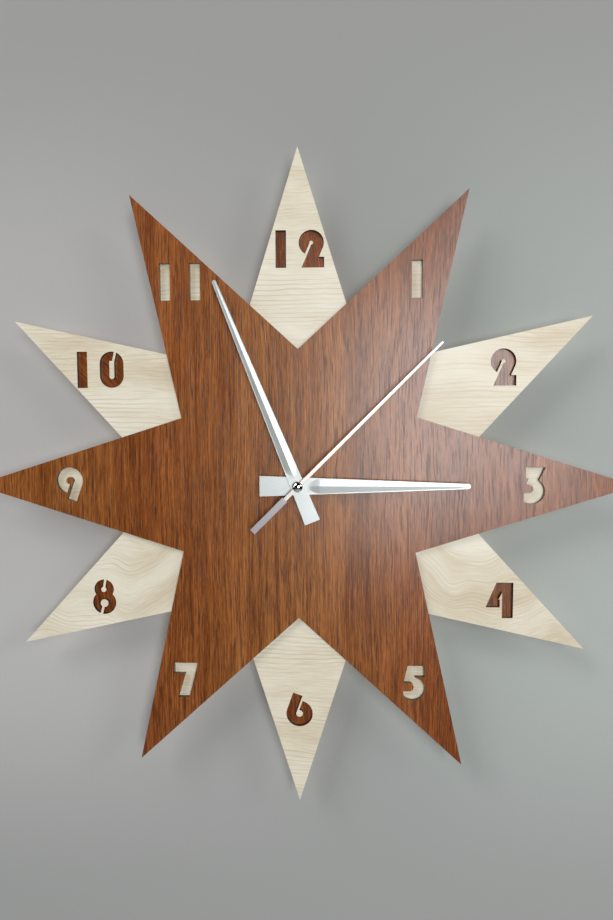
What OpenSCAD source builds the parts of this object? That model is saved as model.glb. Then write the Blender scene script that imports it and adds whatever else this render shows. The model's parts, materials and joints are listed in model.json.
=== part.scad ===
// Sunburst wall clock: two six-pointed stars of laminated board, one turned 30 degrees
// behind the other, with cut-out numerals and a battery quartz movement.
//
// Every module draws its piece on the bench: the hand axis is Z, the wall is the plane z = 0,
// the front looks up +Z and twelve o'clock lies along +Y. on_wall() then hangs the finished
// piece up: front towards -Y, +X to the right, +Z up, with the origin in the middle of the
// hanging hole on the wall.

/* [Dial] */
// Radius of both stars, from the hand axis to a point
star_radius = 225; // [180:1:290]
// Full angle at each point of a star, degrees
point_angle = 35.1; // [32:0.1:40]
// Thickness of the laminated board that the stars and their backings are cut from
board_t = 3; // [2:0.5:6]
// Wood left between a backing plate's edge and the star's edge
backing_margin = 1; // [0.5:0.1:1.8]
// Wood of a backing plate above and below the numerals
backing_lap = 5; // [3:0.5:8]

/* [Numerals] */
// Height of the numerals
numeral_h = 24.7; // [16:0.1:32]
// Distance between the middles of the two figures of 10, 11 and 12
pair_pitch = 20.5; // [18:0.1:27]
// Least wood beside the wider figures, measured square to the centre line
numeral_margin = 2.1; // [1.9:0.1:6]

/* [Battery] */
// Length of the battery with its button
battery_l = 50.5; // [40:0.5:62]
// Diameter of the battery
battery_d = 14.2; // [12:0.1:17.2]
// Diameter of the battery's button
button_d = 5.5; // [4:0.1:7]
// Height of the battery's button
button_h = 1.3; // [0.8:0.1:2]
// Thickness of the sheet that the battery contacts are bent from
contact_t = 0.4; // [0.3:0.05:0.6]

/* [Movement case] */
// Thickness of the side walls of the case
case_wall = 1.5; // [1:0.1:2.5]
// Thickness of the front wall of the case
front_wall = 1.5; // [1.4:0.1:2.5]
// Room from the hand axis down to the wall of the battery bay
train_room = 11.4; // [11.2:0.1:16]
// Thickness of the rear cover
cover_t = 1.2; // [1.2:0.1:2]
// Depth at which the rear cover sits inside the case
cover_inset = 2.4; // [2.2:0.1:4]
// Clearance between parts that are assembled by hand
fit_gap = 0.1; // [0.05:0.05:0.3]
// Radial clearance between parts that turn in one another
run_gap = 0.05; // [0.03:0.01:0.09]

/* [Hanger] */
// Diameter of the hanging hole
hang_hole_d = 7; // [5:0.5:9]
// Width of the rim around the hanging hole
hang_rim = 3; // [2:0.5:5]
// Thickness of the hanger tab
hanger_t = 2; // [1.5:0.1:3]

/* [Post] */
// Outside diameter of the threaded post
post_d = 7.9; // [7.2:0.1:10]
// Pitch of the post's thread
thread_pitch = 0.75; // [0.6:0.05:1]
// Thickness of the rubber gasket behind the dial
gasket_t = 1; // [0.5:0.1:2]
// Diameter of the rubber gasket
gasket_d = 26; // [20:0.5:32]
// Thickness of the washer
washer_t = 0.5; // [0.3:0.1:1]
// Diameter of the washer
washer_d = 12.4; // [11.6:0.1:16]
// Distance across the flats of the nut
nut_af = 10.6; // [10:0.1:14]
// Thickness of the nut
nut_t = 2.2; // [1.8:0.1:3.5]

/* [Hands] */
// Length of the hour hand from the axis to its tip
hour_l = 115; // [90:1:140]
// Length of the hour hand's tail
hour_tail = 26; // [16:1:36]
// Width of the hour hand at the end of its tail
hour_w0 = 14; // [10:0.5:18]
// Width of the hour hand at its tip
hour_w1 = 3.4; // [2:0.1:5]
// Length of the minute hand from the axis to its tip
minute_l = 147; // [120:1:180]
// Length of the minute hand's tail
minute_tail = 26; // [16:1:36]
// Width of the minute hand at the end of its tail
minute_w0 = 10.8; // [8:0.1:14]
// Width of the minute hand at its tip
minute_w1 = 2.8; // [2:0.1:4]
// Length of the second hand from the axis to its tip
second_l = 134; // [100:1:160]
// Width of the second hand at the axis
second_w0 = 2.6; // [2.4:0.1:4]
// Width of the second hand at its tip
second_w1 = 1.5; // [1:0.1:2]
// Distance from the axis to the start of the counterweight
neck_l = 12; // [6:0.5:18]
// Distance from the axis to the end of the counterweight
second_tail = 43; // [30:1:55]
// Width of the counterweight
weight_w = 4.4; // [3:0.1:7]
// Thickness of the sheet that the hour and minute hands are pressed from
hand_t = 0.5; // [0.3:0.1:0.8]
// Thickness of the second hand
second_t = 0.4; // [0.3:0.1:0.6]
// Diameter of the cap on the second hand
cap_d = 6.8; // [5:0.1:9]
// Height of the cap
cap_h = 1.6; // [1:0.1:2.4]
// Where the hour hand points, degrees clockwise from twelve
hour_points = 90; // [0:1:359]
// Where the minute hand points, degrees clockwise from twelve
minute_points = 338; // [0:1:359]
// Where the second hand points, degrees clockwise from twelve
second_points = 45; // [0:1:359]
// Free height between one hand's collar and the next
hand_gap = 0.7; // [0.4:0.1:1.5]
// Length of each hand's collar behind the hand
collar_l = 1.2; // [0.8:0.1:2]

/* [Shafts] */
// Diameter of the second shaft
second_shaft_d = 1; // [0.8:0.05:1.2]
// Outside diameter of the minute pipe
minute_pipe_d = 3.2; // [2.6:0.1:3.4]
// Outside diameter of the hour pipe
hour_pipe_d = 5; // [4.4:0.1:5.6]
// Diameter of the small arbors
arbor_d = 0.8; // [0.6:0.05:0.9]

/* [Gear train] */
// Thickness of the wheels
wheel_t = 0.8; // [0.6:0.05:1]
// Free height between one layer of wheels and the next
layer_gap = 0.7; // [0.5:0.05:1]
// Module of the rotor pinion and the intermediate wheel
rotor_module = 0.2; // [0.19:0.005:0.22]
// Module of the intermediate pinion and the second wheel
second_module = 0.25; // [0.24:0.005:0.26]
// Module of the second pinion and the third wheel
third_module = 0.25; // [0.24:0.005:0.26]
// Module of the motion work
motion_module = 0.3; // [0.29:0.005:0.31]
// Slack on each side of a tooth, as a part of the module
tooth_slack = 0.1; // [0.06:0.01:0.16]

/* [Motor] */
// Diameter of the rotor magnet
magnet_d = 6; // [4:0.1:7]
// Air gap between the magnet and the stator
air_gap = 0.4; // [0.3:0.05:0.8]
// Thickness of the stator and of the coil's core
stator_t = 1; // [0.6:0.1:1.2]
// Width of the coil's core
core_w = 3; // [2:0.1:4]
// Diameter of the coil's winding
winding_d = 7.2; // [5.6:0.1:7.4]
// Length of the coil's winding
winding_l = 17; // [12:0.5:18]
// Thickness of the bobbin's flanges
flange_t = 1; // [0.6:0.1:1.5]
// Diameter of the setting knob
knob_d = 11; // [8:0.5:12]

/* [Hidden] */

$fn = 48;

walnut = "#7a4a32";
maple = "#e6d9bc";
steel = "#b9bcc0";
brass = "#c9a553";
black_plastic = "#26272a";
white_plastic = "#dcdcd6";
silver = "#c8cacd";

// --- the layers of the train, measured from the wall
button_room = 0.3;
battery_sit = 0.35;
cover_z = cover_inset;
cover_top = cover_z + cover_t;
second_z = cover_top + 1;
third_z = second_z + wheel_t + 2 * layer_gap;
plate_t = 0.8;
plate_z = third_z + wheel_t + layer_gap;
plate_top = plate_z + plate_t;
centre_z = plate_top + layer_gap;
motion_z = centre_z + wheel_t + layer_gap;
hour_z = motion_z + wheel_t + layer_gap;

// --- where the arbors stand
rotor_teeth = 10;
intermediate_teeth = 60;
intermediate_pinion = 12;
second_teeth = 60;
second_pinion = 8;
third_teeth = 60;
third_pinion = 8;
centre_teeth = 64;
cannon_teeth = 15;
motion_teeth = 45;
motion_pinion = 12;
hour_teeth = 48;
knob_pinion = 15;

function polar(r, a) = [r * cos(a), r * sin(a)];

third_a = 180;
third_cd = third_module * (second_pinion + third_teeth) / 2;
third_at = polar(third_cd, third_a);
centre_module = 2 * third_cd / (third_pinion + centre_teeth);

intermediate_a = 45;
intermediate_cd = second_module * (intermediate_pinion + second_teeth) / 2;
intermediate_at = polar(intermediate_cd, intermediate_a);

rotor_a = 45;
rotor_cd = rotor_module * (rotor_teeth + intermediate_teeth) / 2;
rotor_at = intermediate_at + polar(rotor_cd, rotor_a);

motion_a = 110;
motion_cd = motion_module * (cannon_teeth + motion_teeth) / 2;
motion_at = polar(motion_cd, motion_a);

knob_a = 180;
knob_cd = motion_module * (knob_pinion + motion_teeth) / 2;
knob_at = motion_at + polar(knob_cd, knob_a);
knob_shaft_d = 2;

// --- the motor, set out from the rotor
magnet_r = magnet_d / 2;
magnet_t = stator_t + 0.6;
stator_z = plate_top;
magnet_z = plate_top + 0.2;
core_z = stator_z + stator_t;
coil_z = core_z + stator_t / 2;
stator_hole_r = magnet_r + air_gap;
stator_rim = 2.2;
leg_w = 3;
bobbin_l = winding_l + 2 * flange_t;
stator_w = bobbin_l + 2 * leg_w + 0.8;
flange_w = winding_d + 0.8;
barrel_d = sqrt(pow(core_w + 2 * fit_gap, 2) + pow(stator_t + 2 * fit_gap, 2)) + 0.8;
coil_y = rotor_at[1] + stator_hole_r + stator_rim + flange_w / 2 + 0.3;
// --- the case
post_flange_t = 0.7;
post_flange_d = post_d + 3.4;
train_top = hour_z + wheel_t + post_flange_t + 0.4;
coil_top = coil_z + flange_w / 2 + 0.1;
battery_top = battery_sit + battery_d + button_room;
front_in = max(train_top, coil_top, battery_top);
case_depth = front_in + front_wall;
bay_gap = 0.35;
divider_t = 1;
contact_room = 1.25;
case_w = battery_l + 2 * contact_room + 2 * case_wall;
in_x = case_w / 2 - case_wall;
bay_y1 = -train_room - divider_t;
bay_y0 = bay_y1 - battery_d - 2 * bay_gap;
case_y0 = bay_y0 - case_wall;
battery_y = (bay_y0 + bay_y1) / 2;
battery_z = battery_sit + battery_d / 2;
battery_x0 = -in_x + contact_room;
corner_r = 3;
case_y1 = coil_y + flange_w / 2 + 1.2 + case_wall;

// --- the boards and the post, measured from the wall
gasket_z = case_depth;
maple_z = gasket_z + gasket_t;
walnut_z = maple_z + board_t;
walnut_backing_z = maple_z - board_t;
washer_z = walnut_z + board_t;
nut_z = washer_z + washer_t;
post_top = nut_z + nut_t + 0.5;

// --- the pivots of the arbors, and the blind holes that they run in
pivot_l = 0.8;
pivot_hole = 0.9;

// --- the pillars of the gear plate
pillar_d = 2.4;
pillars = [
    [-third_cd - 6.5, -train_room + 2.2], [third_cd + 4.5, -train_room + 2.2],
    [knob_at[0] - 2.6, knob_at[1] + 6.5], [rotor_at[0] + 8, 2]
];

// --- the circuit
board_x0 = -in_x + 0.6;
board_x1 = -third_cd - third_module * third_teeth / 2 - 1.2;
board_y0 = -train_room + 0.5;
board_y1 = knob_at[1] + 9;
board_z = front_in - 2;
circuit_t = 1;
circuit_mid = (board_x0 + board_x1) / 2;
boss_d = 3;
chip_t = 0.9;
chip_d = 5.4;
can_d = 3;
can_l = 8;
lead_d = 0.25;

// --- the battery's contacts
pad_low = battery_z - 2.4;
pad_high = battery_z + 2;
pad_inset = 3;
dimple_d = 4;
strip_w = 1.4;
strip_z = pad_high - strip_w;
tab_w = 2.4;
tab_lap = 1.6;
slot_half = 0.3;

// --- the hands
hour_collar_z = post_top + 0.4;
hour_hand_z = hour_collar_z + collar_l;
hour_top = hour_hand_z + hand_t + 0.15;
minute_collar_z = hour_top + hand_gap;
minute_hand_z = minute_collar_z + collar_l;
minute_top = minute_hand_z + hand_t + 0.15;
second_tube_z = minute_top + hand_gap;
second_hand_z = second_tube_z + 1.5 * collar_l;
second_top = second_hand_z + second_t;
neck_wall = 0.4;
collar_wall = 1.3;

// --- the hanger
hang_r = hang_hole_d / 2;
axis_drop = case_y1 + hang_r + 0.8;

// --- numerals: drawn in hundredths of their own height
unit = numeral_h / 100;
glyph_w = [67, 28.6, 69, 57, 77, 62, 75.5, 69.5, 67.5, 75.5];
half_angle = point_angle / 2;
pair_lead = 4.5 * unit;
widest_pair = (pair_pitch + glyph_w[2] * unit) / 2 - pair_lead;
widest_height = 16 * unit;
numeral_r = star_radius - (widest_pair + numeral_margin) / tan(half_angle) - widest_height;
notch_r = star_radius * tan(half_angle) / (sin(30) + cos(30) * tan(half_angle));

module on_wall() {
    translate([0, 0, -axis_drop]) rotate([90, 0, 0]) children();
}

// ---------------------------------------------------------------- numerals

module dot(x, y, r) {
    translate([x, y] * unit) circle(r = r * unit, $fn = 64);
}

module field(points) {
    polygon(points * unit);
}

module block(x0, y0, x1, y1) {
    field([[x0, y0], [x1, y0], [x1, y1], [x0, y1]]);
}

// a straight cut of width w that starts at p and runs l along the angle a from upright
module slit(p, a, l, w) {
    translate(p * unit) rotate(-a) translate([-w / 2, 0] * unit) square([w, l] * unit);
}

module glyph_0() {
    difference() {
        union() {
            dot(33.5, 33.5, 33.5);
            dot(33.5, 66.5, 33.5);
            block(0, 33.5, 67, 66.5);
        }
        dot(34, 31, 6.8);
        block(27.2, 31, 40.8, 74);
        slit([37, 68], 13, 40, 6.5);
    }
}

module glyph_1() {
    block(0, 0, glyph_w[1], 100);
}

module glyph_2() {
    lean = 23.3;
    difference() {
        union() {
            dot(34.1, 65.9, 34.1);
            field([[7.8, 0], [69, 0], [69, 28.3], [55, 28.3], [64.6, 51.4], [34.1, 61]]);
        }
        dot(34.1, 65.9, 5);
        slit([33.1, 66.3], lean + 180, 45, 6);
    }
}

module glyph_3() {
    field([[4, 100], [57, 100], [39.5, 63], [30, 52], [5, 52], [12, 69], [4, 70.5]]);
    difference() {
        dot(22, 34.5, 34.5);
        field([[-20, 52], [5, 52], [12, 69], [4, 80], [-20, 80]]);
        block(-20, -5, 0, 60);
        dot(14, 41, 11);
        block(-5, 30, 14, 52);
    }
}

module glyph_4() {
    field([
        [1, 30], [30, 100], [76, 100], [76, 0], [46, 0],
        [46, 71.5], [36, 52.5], [39.7, 52], [39.7, 30]
    ]);
}

module glyph_5() {
    field([[13, 100], [60, 100], [60, 68], [34.5, 68], [30, 60], [18.5, 50.2], [2.5, 50.2]]);
    difference() {
        dot(28, 33.5, 33.5);
        field([[-10, 50.2], [2.5, 50.2], [13, 100], [-10, 100]]);
        block(-10, -5, 2, 60);
        dot(18.5, 38.5, 11.7);
        block(-5, 26.8, 18.5, 50.2);
    }
}

// the straight edges end just inside the circles, so that they cross them cleanly
module glyph_6() {
    bowl = 37.5;
    eye = 9.5;
    lean = 19.5;
    cut = 5;
    inside = 0.3;
    middle = [bowl, bowl];
    leftwards = [-cos(lean), sin(lean)];
    difference() {
        union() {
            dot(bowl, bowl, bowl);
            slit(middle + ((bowl + eye) / 2 - inside - 1) * leftwards, lean, 51.5, bowl - eye + 2);
        }
        dot(bowl, bowl, eye);
        slit(middle + (eye - inside - cut / 2) * leftwards, lean, 60, cut);
    }
}

module glyph_7() {
    field([[1, 100], [68.5, 100], [43, 0], [11.5, 0], [32, 68.5], [1, 68.5]]);
}

module glyph_8() {
    difference() {
        union() {
            dot(34, 33.5, 33.5);
            dot(33.5, 72, 28);
        }
        dot(32.5, 71, 7.5);
        slit([32.5, 71], 10, 40, 6.3);
        dot(33.7, 31.5, 11.2);
        slit([33, 31], 195, 45, 7);
    }
}

module glyph_9() {
    translate([glyph_w[9], 100] * unit) rotate(180) glyph_6();
}

module digit(n) {
    translate([-glyph_w[n] / 2, -50] * unit) {
        if (n == 0) glyph_0();
        if (n == 1) glyph_1();
        if (n == 2) glyph_2();
        if (n == 3) glyph_3();
        if (n == 4) glyph_4();
        if (n == 5) glyph_5();
        if (n == 6) glyph_6();
        if (n == 7) glyph_7();
        if (n == 8) glyph_8();
        if (n == 9) glyph_9();
    }
}

function clock_dir(hour) = [sin(30 * hour), cos(30 * hour)];

// a numeral stands upright, with its middle on the centre line of its point;
// 10 and 12 sit a little left, because a 1 is narrower than the figure beside it
module numeral(hour) {
    lead = hour == 11 ? 0 : -pair_lead;
    translate(numeral_r * clock_dir(hour)) {
        if (hour < 10) digit(hour);
        if (hour > 9) {
            translate([lead - pair_pitch / 2, 0]) digit(1);
            translate([lead + pair_pitch / 2, 0]) digit(hour - 10);
        }
    }
}

// ---------------------------------------------------------------- dial

// a six-pointed star with one point at every second hour from the first
module star_outline(first) {
    polygon([
        for (i = [0 : 11])
            (i % 2 == 0 ? star_radius : notch_r) * clock_dir(first + i)
    ]);
}

module star(first) {
    linear_extrude(board_t) difference() {
        star_outline(first);
        for (i = [0 : 5]) numeral(first == 0 && i == 0 ? 12 : first + 2 * i);
        circle(r = post_d / 2 + fit_gap);
    }
}

module walnut_star() {
    color(walnut) translate([0, 0, walnut_z]) star(1);
}

module maple_star() {
    color(maple) translate([0, 0, maple_z]) star(0);
}

// a plate glued behind one numeral: it follows both sides of the point
module backing(hour) {
    numeral_w = hour < 10 ? glyph_w[hour] * unit : pair_pitch + glyph_w[hour - 10] * unit;
    upright = abs(cos(30 * hour));
    across = abs(sin(30 * hour));
    reach = (numeral_h * upright + numeral_w * across) / 2 + backing_lap;
    r0 = numeral_r - reach;
    r1 = numeral_r + reach;
    w0 = (star_radius - r0) * tan(half_angle) - backing_margin / cos(half_angle);
    w1 = (star_radius - r1) * tan(half_angle) - backing_margin / cos(half_angle);
    rotate(-30 * hour) linear_extrude(board_t)
        polygon([[-w0, r0], [w0, r0], [w1, r1], [-w1, r1]]);
}

module maple_backing(hour) {
    color(maple) translate([0, 0, maple_z]) backing(hour);
}

module walnut_backing(hour) {
    color(walnut) translate([0, 0, walnut_backing_z]) backing(hour);
}

// ---------------------------------------------------------------- post

module ring(z, h, d, bore) {
    translate([0, 0, z]) difference() {
        cylinder(h = h, d = d);
        translate([0, 0, -1]) cylinder(h = h + 2, d = bore);
    }
}

module dial_gasket() {
    color("#1d1d1f") ring(gasket_z, gasket_t, gasket_d, post_d + 2 * fit_gap);
}

module post_washer() {
    color(steel) ring(washer_z, washer_t, washer_d, post_d + 2 * fit_gap);
}

module hex_nut() {
    bevel = 0.5;
    corner = nut_af / cos(30);
    color(brass) translate([0, 0, nut_z]) difference() {
        intersection() {
            cylinder(h = nut_t, d = corner, $fn = 6);
            rotate_extrude()
                polygon([
                    [0, 0], [corner / 2 - bevel, 0], [corner / 2, bevel],
                    [corner / 2, nut_t - bevel], [corner / 2 - bevel, nut_t], [0, nut_t]
                ]);
        }
        translate([0, 0, -1]) cylinder(h = nut_t + 2, d = post_d);
    }
}

// a brass bush with a flange inside the case and grooves for the thread
module threaded_post() {
    groove = 0.35;
    turns = floor((post_top - case_depth - gasket_t) / thread_pitch);
    bore = hour_pipe_d + 2 * run_gap;
    color(brass) rotate_extrude()
        polygon(concat(
            [
                [bore / 2, front_in - post_flange_t],
                [post_flange_d / 2, front_in - post_flange_t],
                [post_flange_d / 2, front_in], [post_d / 2, front_in]
            ],
            [
                for (i = [0 : turns - 1], side = [0 : 1])
                    [
                        post_d / 2 - side * groove,
                        post_top - (turns - i - side / 2) * thread_pitch
                    ]
            ],
            [[post_d / 2 - groove, post_top], [bore / 2, post_top]]
        ));
}

// ---------------------------------------------------------------- movement case

module rounded_plan(x0, y0, x1, y1, r) {
    for (x = [x0 + r, x1 - r], y = [y0 + r, y1 - r]) translate([x, y]) circle(r = r);
    translate([x0 + r, y0]) square([x1 - x0 - 2 * r, y1 - y0]);
    translate([x0, y0 + r]) square([x1 - x0, y1 - y0 - 2 * r]);
}

module box(x0, y0, z0, x1, y1, z1) {
    translate([x0, y0, z0]) cube([x1 - x0, y1 - y0, z1 - z0]);
}

// a blind pivot hole in the front wall
module front_pivot(at, d) {
    translate([at[0], at[1], front_in - 1]) cylinder(h = 1 + pivot_hole, d = d + 2 * run_gap);
}

// a pivot hole in the rear cover, blind from the train side
module rear_pivot(at, d) {
    translate([at[0], at[1], cover_top - pivot_hole]) cylinder(h = 2, d = d + 2 * run_gap);
}

module hanger_plan() {
    neck = hang_r + hang_rim;
    translate([0, axis_drop]) circle(r = neck);
    polygon([
        [-neck - 6, case_y1 - 1], [neck + 6, case_y1 - 1],
        [neck, axis_drop], [-neck, axis_drop]
    ]);
}

module movement_case() {
    color(black_plastic) difference() {
        union() {
            linear_extrude(case_depth)
                rounded_plan(-case_w / 2, case_y0, case_w / 2, case_y1, corner_r);
            linear_extrude(hanger_t) hanger_plan();
        }
        // room for the train
        difference() {
            box(-in_x, -train_room, -1, in_x, case_y1 - case_wall, front_in);
            for (y = [board_y0 + 2.5, board_y1 - 2.5])
                translate([circuit_mid, y, board_z + circuit_t])
                    cylinder(h = front_in - board_z, d = boss_d);
        }
        // battery bay
        box(-in_x, bay_y0, -1, in_x, bay_y1, battery_top);
        // slots that the contacts pass through
        for (s = [-1, 1])
            box(
                s * (in_x - slot_half) - slot_half, bay_y1 - 1, pad_low - 1,
                s * (in_x - slot_half) + slot_half, -train_room + 1, board_z + 1
            );
        // hole for the post, and the pivots
        translate([0, 0, front_in - 1]) cylinder(h = front_wall + 2, d = post_d);
        front_pivot(third_at, arbor_d);
        front_pivot(rotor_at, arbor_d);
        front_pivot(motion_at, arbor_d);
        front_pivot(knob_at, knob_shaft_d);
        // hanging hole
        translate([0, axis_drop, -1]) cylinder(h = hanger_t + 2, r = hang_r);
    }
}

module movement_cover() {
    color(black_plastic) difference() {
        box(
            -in_x + fit_gap, -train_room + fit_gap, cover_z,
            in_x - fit_gap, case_y1 - case_wall - fit_gap, cover_top
        );
        rear_pivot([0, 0], second_shaft_d);
        rear_pivot(third_at, arbor_d);
        rear_pivot(intermediate_at, arbor_d);
        rear_pivot(rotor_at, arbor_d);
        translate([knob_at[0], knob_at[1], cover_z - 1])
            cylinder(h = cover_t + 2, d = knob_shaft_d + 2 * run_gap);
    }
}

// the plate between the two halves of the train, on four pillars
module gear_plate() {
    x0 = board_x1 + 0.5;
    x1 = rotor_at[0] + stator_w / 2 - 0.5;
    y0 = -train_room + 0.8;
    y1 = coil_y - flange_w / 2 - 0.3;
    corner = 3.5;
    hub_room_r = 1.6;
    color(white_plastic) difference() {
        union() {
            translate([0, 0, plate_z]) linear_extrude(plate_t)
                polygon([
                    [x0, y0], [x1 - corner, y0], [x1, y0 + corner],
                    [x1, y1], [x0 + corner, y1], [x0, y1 - corner]
                ]);
            for (p = pillars)
                translate([p[0], p[1], cover_top])
                    cylinder(h = front_in - cover_top, d = pillar_d);
        }
        translate([0, 0, plate_z - 1]) {
            cylinder(h = plate_t + 2, d = minute_pipe_d + 2 * run_gap);
            translate(third_at) cylinder(h = plate_t + 2, r = hub_room_r);
            translate(rotor_at) cylinder(h = plate_t + 2, r = hub_room_r);
            translate(intermediate_at) cylinder(h = plate_t + 2, d = arbor_d + 2 * run_gap);
            translate(motion_at) cylinder(h = plate_t + 2, d = arbor_d + 2 * run_gap);
            translate(knob_at) cylinder(h = plate_t + 2, d = knob_shaft_d + 0.6);
        }
    }
}

// ---------------------------------------------------------------- battery and circuit

module battery() {
    body_l = battery_l - button_h;
    color("#b98a3a") translate([battery_x0, battery_y, battery_z]) rotate([0, 90, 0]) {
        cylinder(h = body_l, d = battery_d);
        cylinder(h = battery_l, d = button_d);
    }
}

// the strip lies on the end wall; a dimple reaches the battery's end
module contact_pad(side, reach) {
    wall_x = side * in_x;
    face_x = wall_x - side * contact_t;
    box(
        min(wall_x, face_x), bay_y0 + pad_inset, pad_low,
        max(wall_x, face_x), -train_room + contact_t, pad_high
    );
    translate([side > 0 ? face_x - reach : face_x, battery_y, battery_z]) rotate([0, 90, 0])
        cylinder(h = reach, d = dimple_d);
}

// the strip runs along the bay's wall, then down and over onto the circuit board
module positive_contact() {
    tab_x = circuit_mid + 0.6;
    strip_y = -train_room + contact_t;
    color(brass) {
        contact_pad(1, in_x - contact_t - battery_x0 - battery_l);
        box(tab_x, -train_room, strip_z, in_x, strip_y, pad_high);
        box(tab_x, -train_room, strip_z, tab_x + tab_w, strip_y, board_z);
        box(tab_x, -train_room, board_z - contact_t, tab_x + tab_w, board_y0 + tab_lap, board_z);
    }
}

module negative_contact() {
    tab_y0 = board_y0 + 1;
    tab_y1 = tab_y0 + 2;
    strip_x = -in_x + contact_t;
    color(brass) {
        contact_pad(-1, battery_x0 + in_x - contact_t);
        box(-in_x, -train_room - tab_w, strip_z, strip_x, tab_y1, pad_high);
        box(-in_x, tab_y0, strip_z, strip_x, tab_y1, board_z);
        box(-in_x, tab_y0, board_z - contact_t, board_x0 + tab_lap, tab_y1, board_z);
    }
}

module circuit_board() {
    color("#2f6b3c") box(board_x0, board_y0, board_z, board_x1, board_y1, board_z + circuit_t);
}

module clock_chip() {
    color("#151515") translate([circuit_mid, board_y0 + 9, board_z - chip_t])
        cylinder(h = chip_t, d = chip_d);
}

module quartz_crystal() {
    can_y = board_y1 - can_l - 4;
    color(silver) translate([circuit_mid, can_y, board_z - can_d / 2]) rotate([-90, 0, 0])
        cylinder(h = can_l, d = can_d);
}

// ---------------------------------------------------------------- motor

module coil_core() {
    color(steel) box(
        rotor_at[0] - stator_w / 2, coil_y - core_w / 2, core_z,
        rotor_at[0] + stator_w / 2, coil_y + core_w / 2, core_z + stator_t
    );
}

module coil_bobbin() {
    slot_w = core_w + 2 * fit_gap;
    slot_h = stator_t + 2 * fit_gap;
    color("#3f6f9a") translate([rotor_at[0] - bobbin_l / 2, coil_y, coil_z]) difference() {
        union() {
            rotate([0, 90, 0]) cylinder(h = bobbin_l, d = barrel_d);
            for (x = [0, bobbin_l - flange_t])
                translate([x, -flange_w / 2, -flange_w / 2]) cube([flange_t, flange_w, flange_w]);
        }
        translate([-1, -slot_w / 2, -slot_h / 2]) cube([bobbin_l + 2, slot_w, slot_h]);
    }
}

module coil_winding() {
    color("#b5562b") translate([rotor_at[0] - winding_l / 2, coil_y, coil_z]) rotate([0, 90, 0])
        difference() {
            cylinder(h = winding_l, d = winding_d);
            translate([0, 0, -1]) cylinder(h = winding_l + 2, d = barrel_d);
        }
}

// two enamelled wires from the bobbin's flange to the circuit board
module coil_leads() {
    lead_z = board_z - lead_d / 2;
    pin_gap = 2.2;
    pad_gap = 2.5;
    start = [rotor_at[0] - bobbin_l / 2, coil_y + flange_w / 2 - 1.2, lead_z];
    color("#b5562b") for (i = [0, 1]) {
        end = [circuit_mid - pad_gap * i, board_y1 - 0.8, lead_z];
        from = start - [0, pin_gap * (1 - i), 0];
        run = end - from;
        translate(from) rotate([0, 0, atan2(run[1], run[0])]) rotate([0, 90, 0])
            cylinder(h = norm(run), d = lead_d);
    }
}

module stator() {
    x0 = rotor_at[0] - stator_w / 2;
    x1 = rotor_at[0] + stator_w / 2;
    band_y0 = rotor_at[1] - 2;
    top_y = coil_y + core_w / 2;
    color(steel) translate([0, 0, stator_z]) linear_extrude(stator_t) difference() {
        union() {
            translate([x0, band_y0]) square([leg_w, top_y - band_y0]);
            translate([x1 - leg_w, band_y0]) square([leg_w, top_y - band_y0]);
            translate([x0, band_y0]) square([stator_w, 4]);
            translate(rotor_at) circle(r = stator_hole_r + stator_rim);
        }
        translate(rotor_at) circle(r = stator_hole_r);
    }
}

// ---------------------------------------------------------------- gears

// The flank is an involute with a pressure angle of 20 degrees down to its base circle.
// A wheel's tip is kept short, so that it clears the foot of a pinion with few teeth.
pressure = 20;
base_share = cos(pressure);
wheel_tip = 0.5;
wheel_foot = 1.25;
pinion_tip = 1;
pinion_foot = 0.85;
pinion_over = 0.2;

function involute(a) = tan(a) * 180 / PI - a;

// half the angle that a tooth takes up at radius r
function tooth_half(teeth, r, pitch_r) =
    90 / teeth - tooth_slack * 180 / PI / teeth * 2
    + involute(pressure)
    - (r > pitch_r * base_share ? involute(acos(pitch_r * base_share / r)) : 0);

module gear_plan(teeth, mod, tip, foot, turn) {
    pitch_r = mod * teeth / 2;
    tip_r = pitch_r + tip * mod;
    foot_r = pitch_r - foot * mod;
    base_r = pitch_r * base_share;
    low_r = foot_r < base_r ? base_r : (foot_r + pitch_r) / 2;
    radii = [foot_r, low_r, pitch_r, tip_r];
    polygon([
        for (i = [0 : teeth - 1], side = [-1, 1], k = [0 : 3])
            let (
                r = side < 0 ? radii[k] : radii[3 - k],
                a = turn + i * 360 / teeth + side * tooth_half(teeth, r, pitch_r)
            )
            polar(r, a)
    ]);
}

module wheel(teeth, mod, turn, z) {
    translate([0, 0, z]) linear_extrude(wheel_t) gear_plan(teeth, mod, wheel_tip, wheel_foot, turn);
}

// a pinion is longer than the wheel that it drives, by the same amount at both ends
module pinion(teeth, mod, turn, z) {
    translate([0, 0, z - pinion_over]) linear_extrude(wheel_t + 2 * pinion_over)
        gear_plan(teeth, mod, pinion_tip, pinion_foot, turn);
}

module arbor(z0, z1, d) {
    translate([0, 0, z0]) cylinder(h = z1 - z0, d = d);
}

// the angle that puts a gear in mesh with one that stands at turn_a, along the direction dir
function in_mesh(dir, turn_a, teeth_a, teeth_b) =
    dir + 180 - (0.5 - (dir - turn_a) * teeth_a / 360) * 360 / teeth_b;

intermediate_wheel_turn = in_mesh(rotor_a + 180, rotor_a, rotor_teeth, intermediate_teeth);
second_wheel_turn = in_mesh(
    intermediate_a + 180, intermediate_a, intermediate_pinion, second_teeth
);
third_wheel_turn = in_mesh(third_a, third_a, second_pinion, third_teeth);
centre_wheel_turn = in_mesh(third_a + 180, third_a, third_pinion, centre_teeth);
motion_wheel_turn = in_mesh(motion_a, motion_a, cannon_teeth, motion_teeth);
hour_wheel_turn = in_mesh(motion_a + 180, motion_a, motion_pinion, hour_teeth);
knob_turn = in_mesh(knob_a, motion_wheel_turn, motion_teeth, knob_pinion);

pivot_z = cover_top - pivot_l;
pivot_top = front_in + pivot_l;

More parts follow.
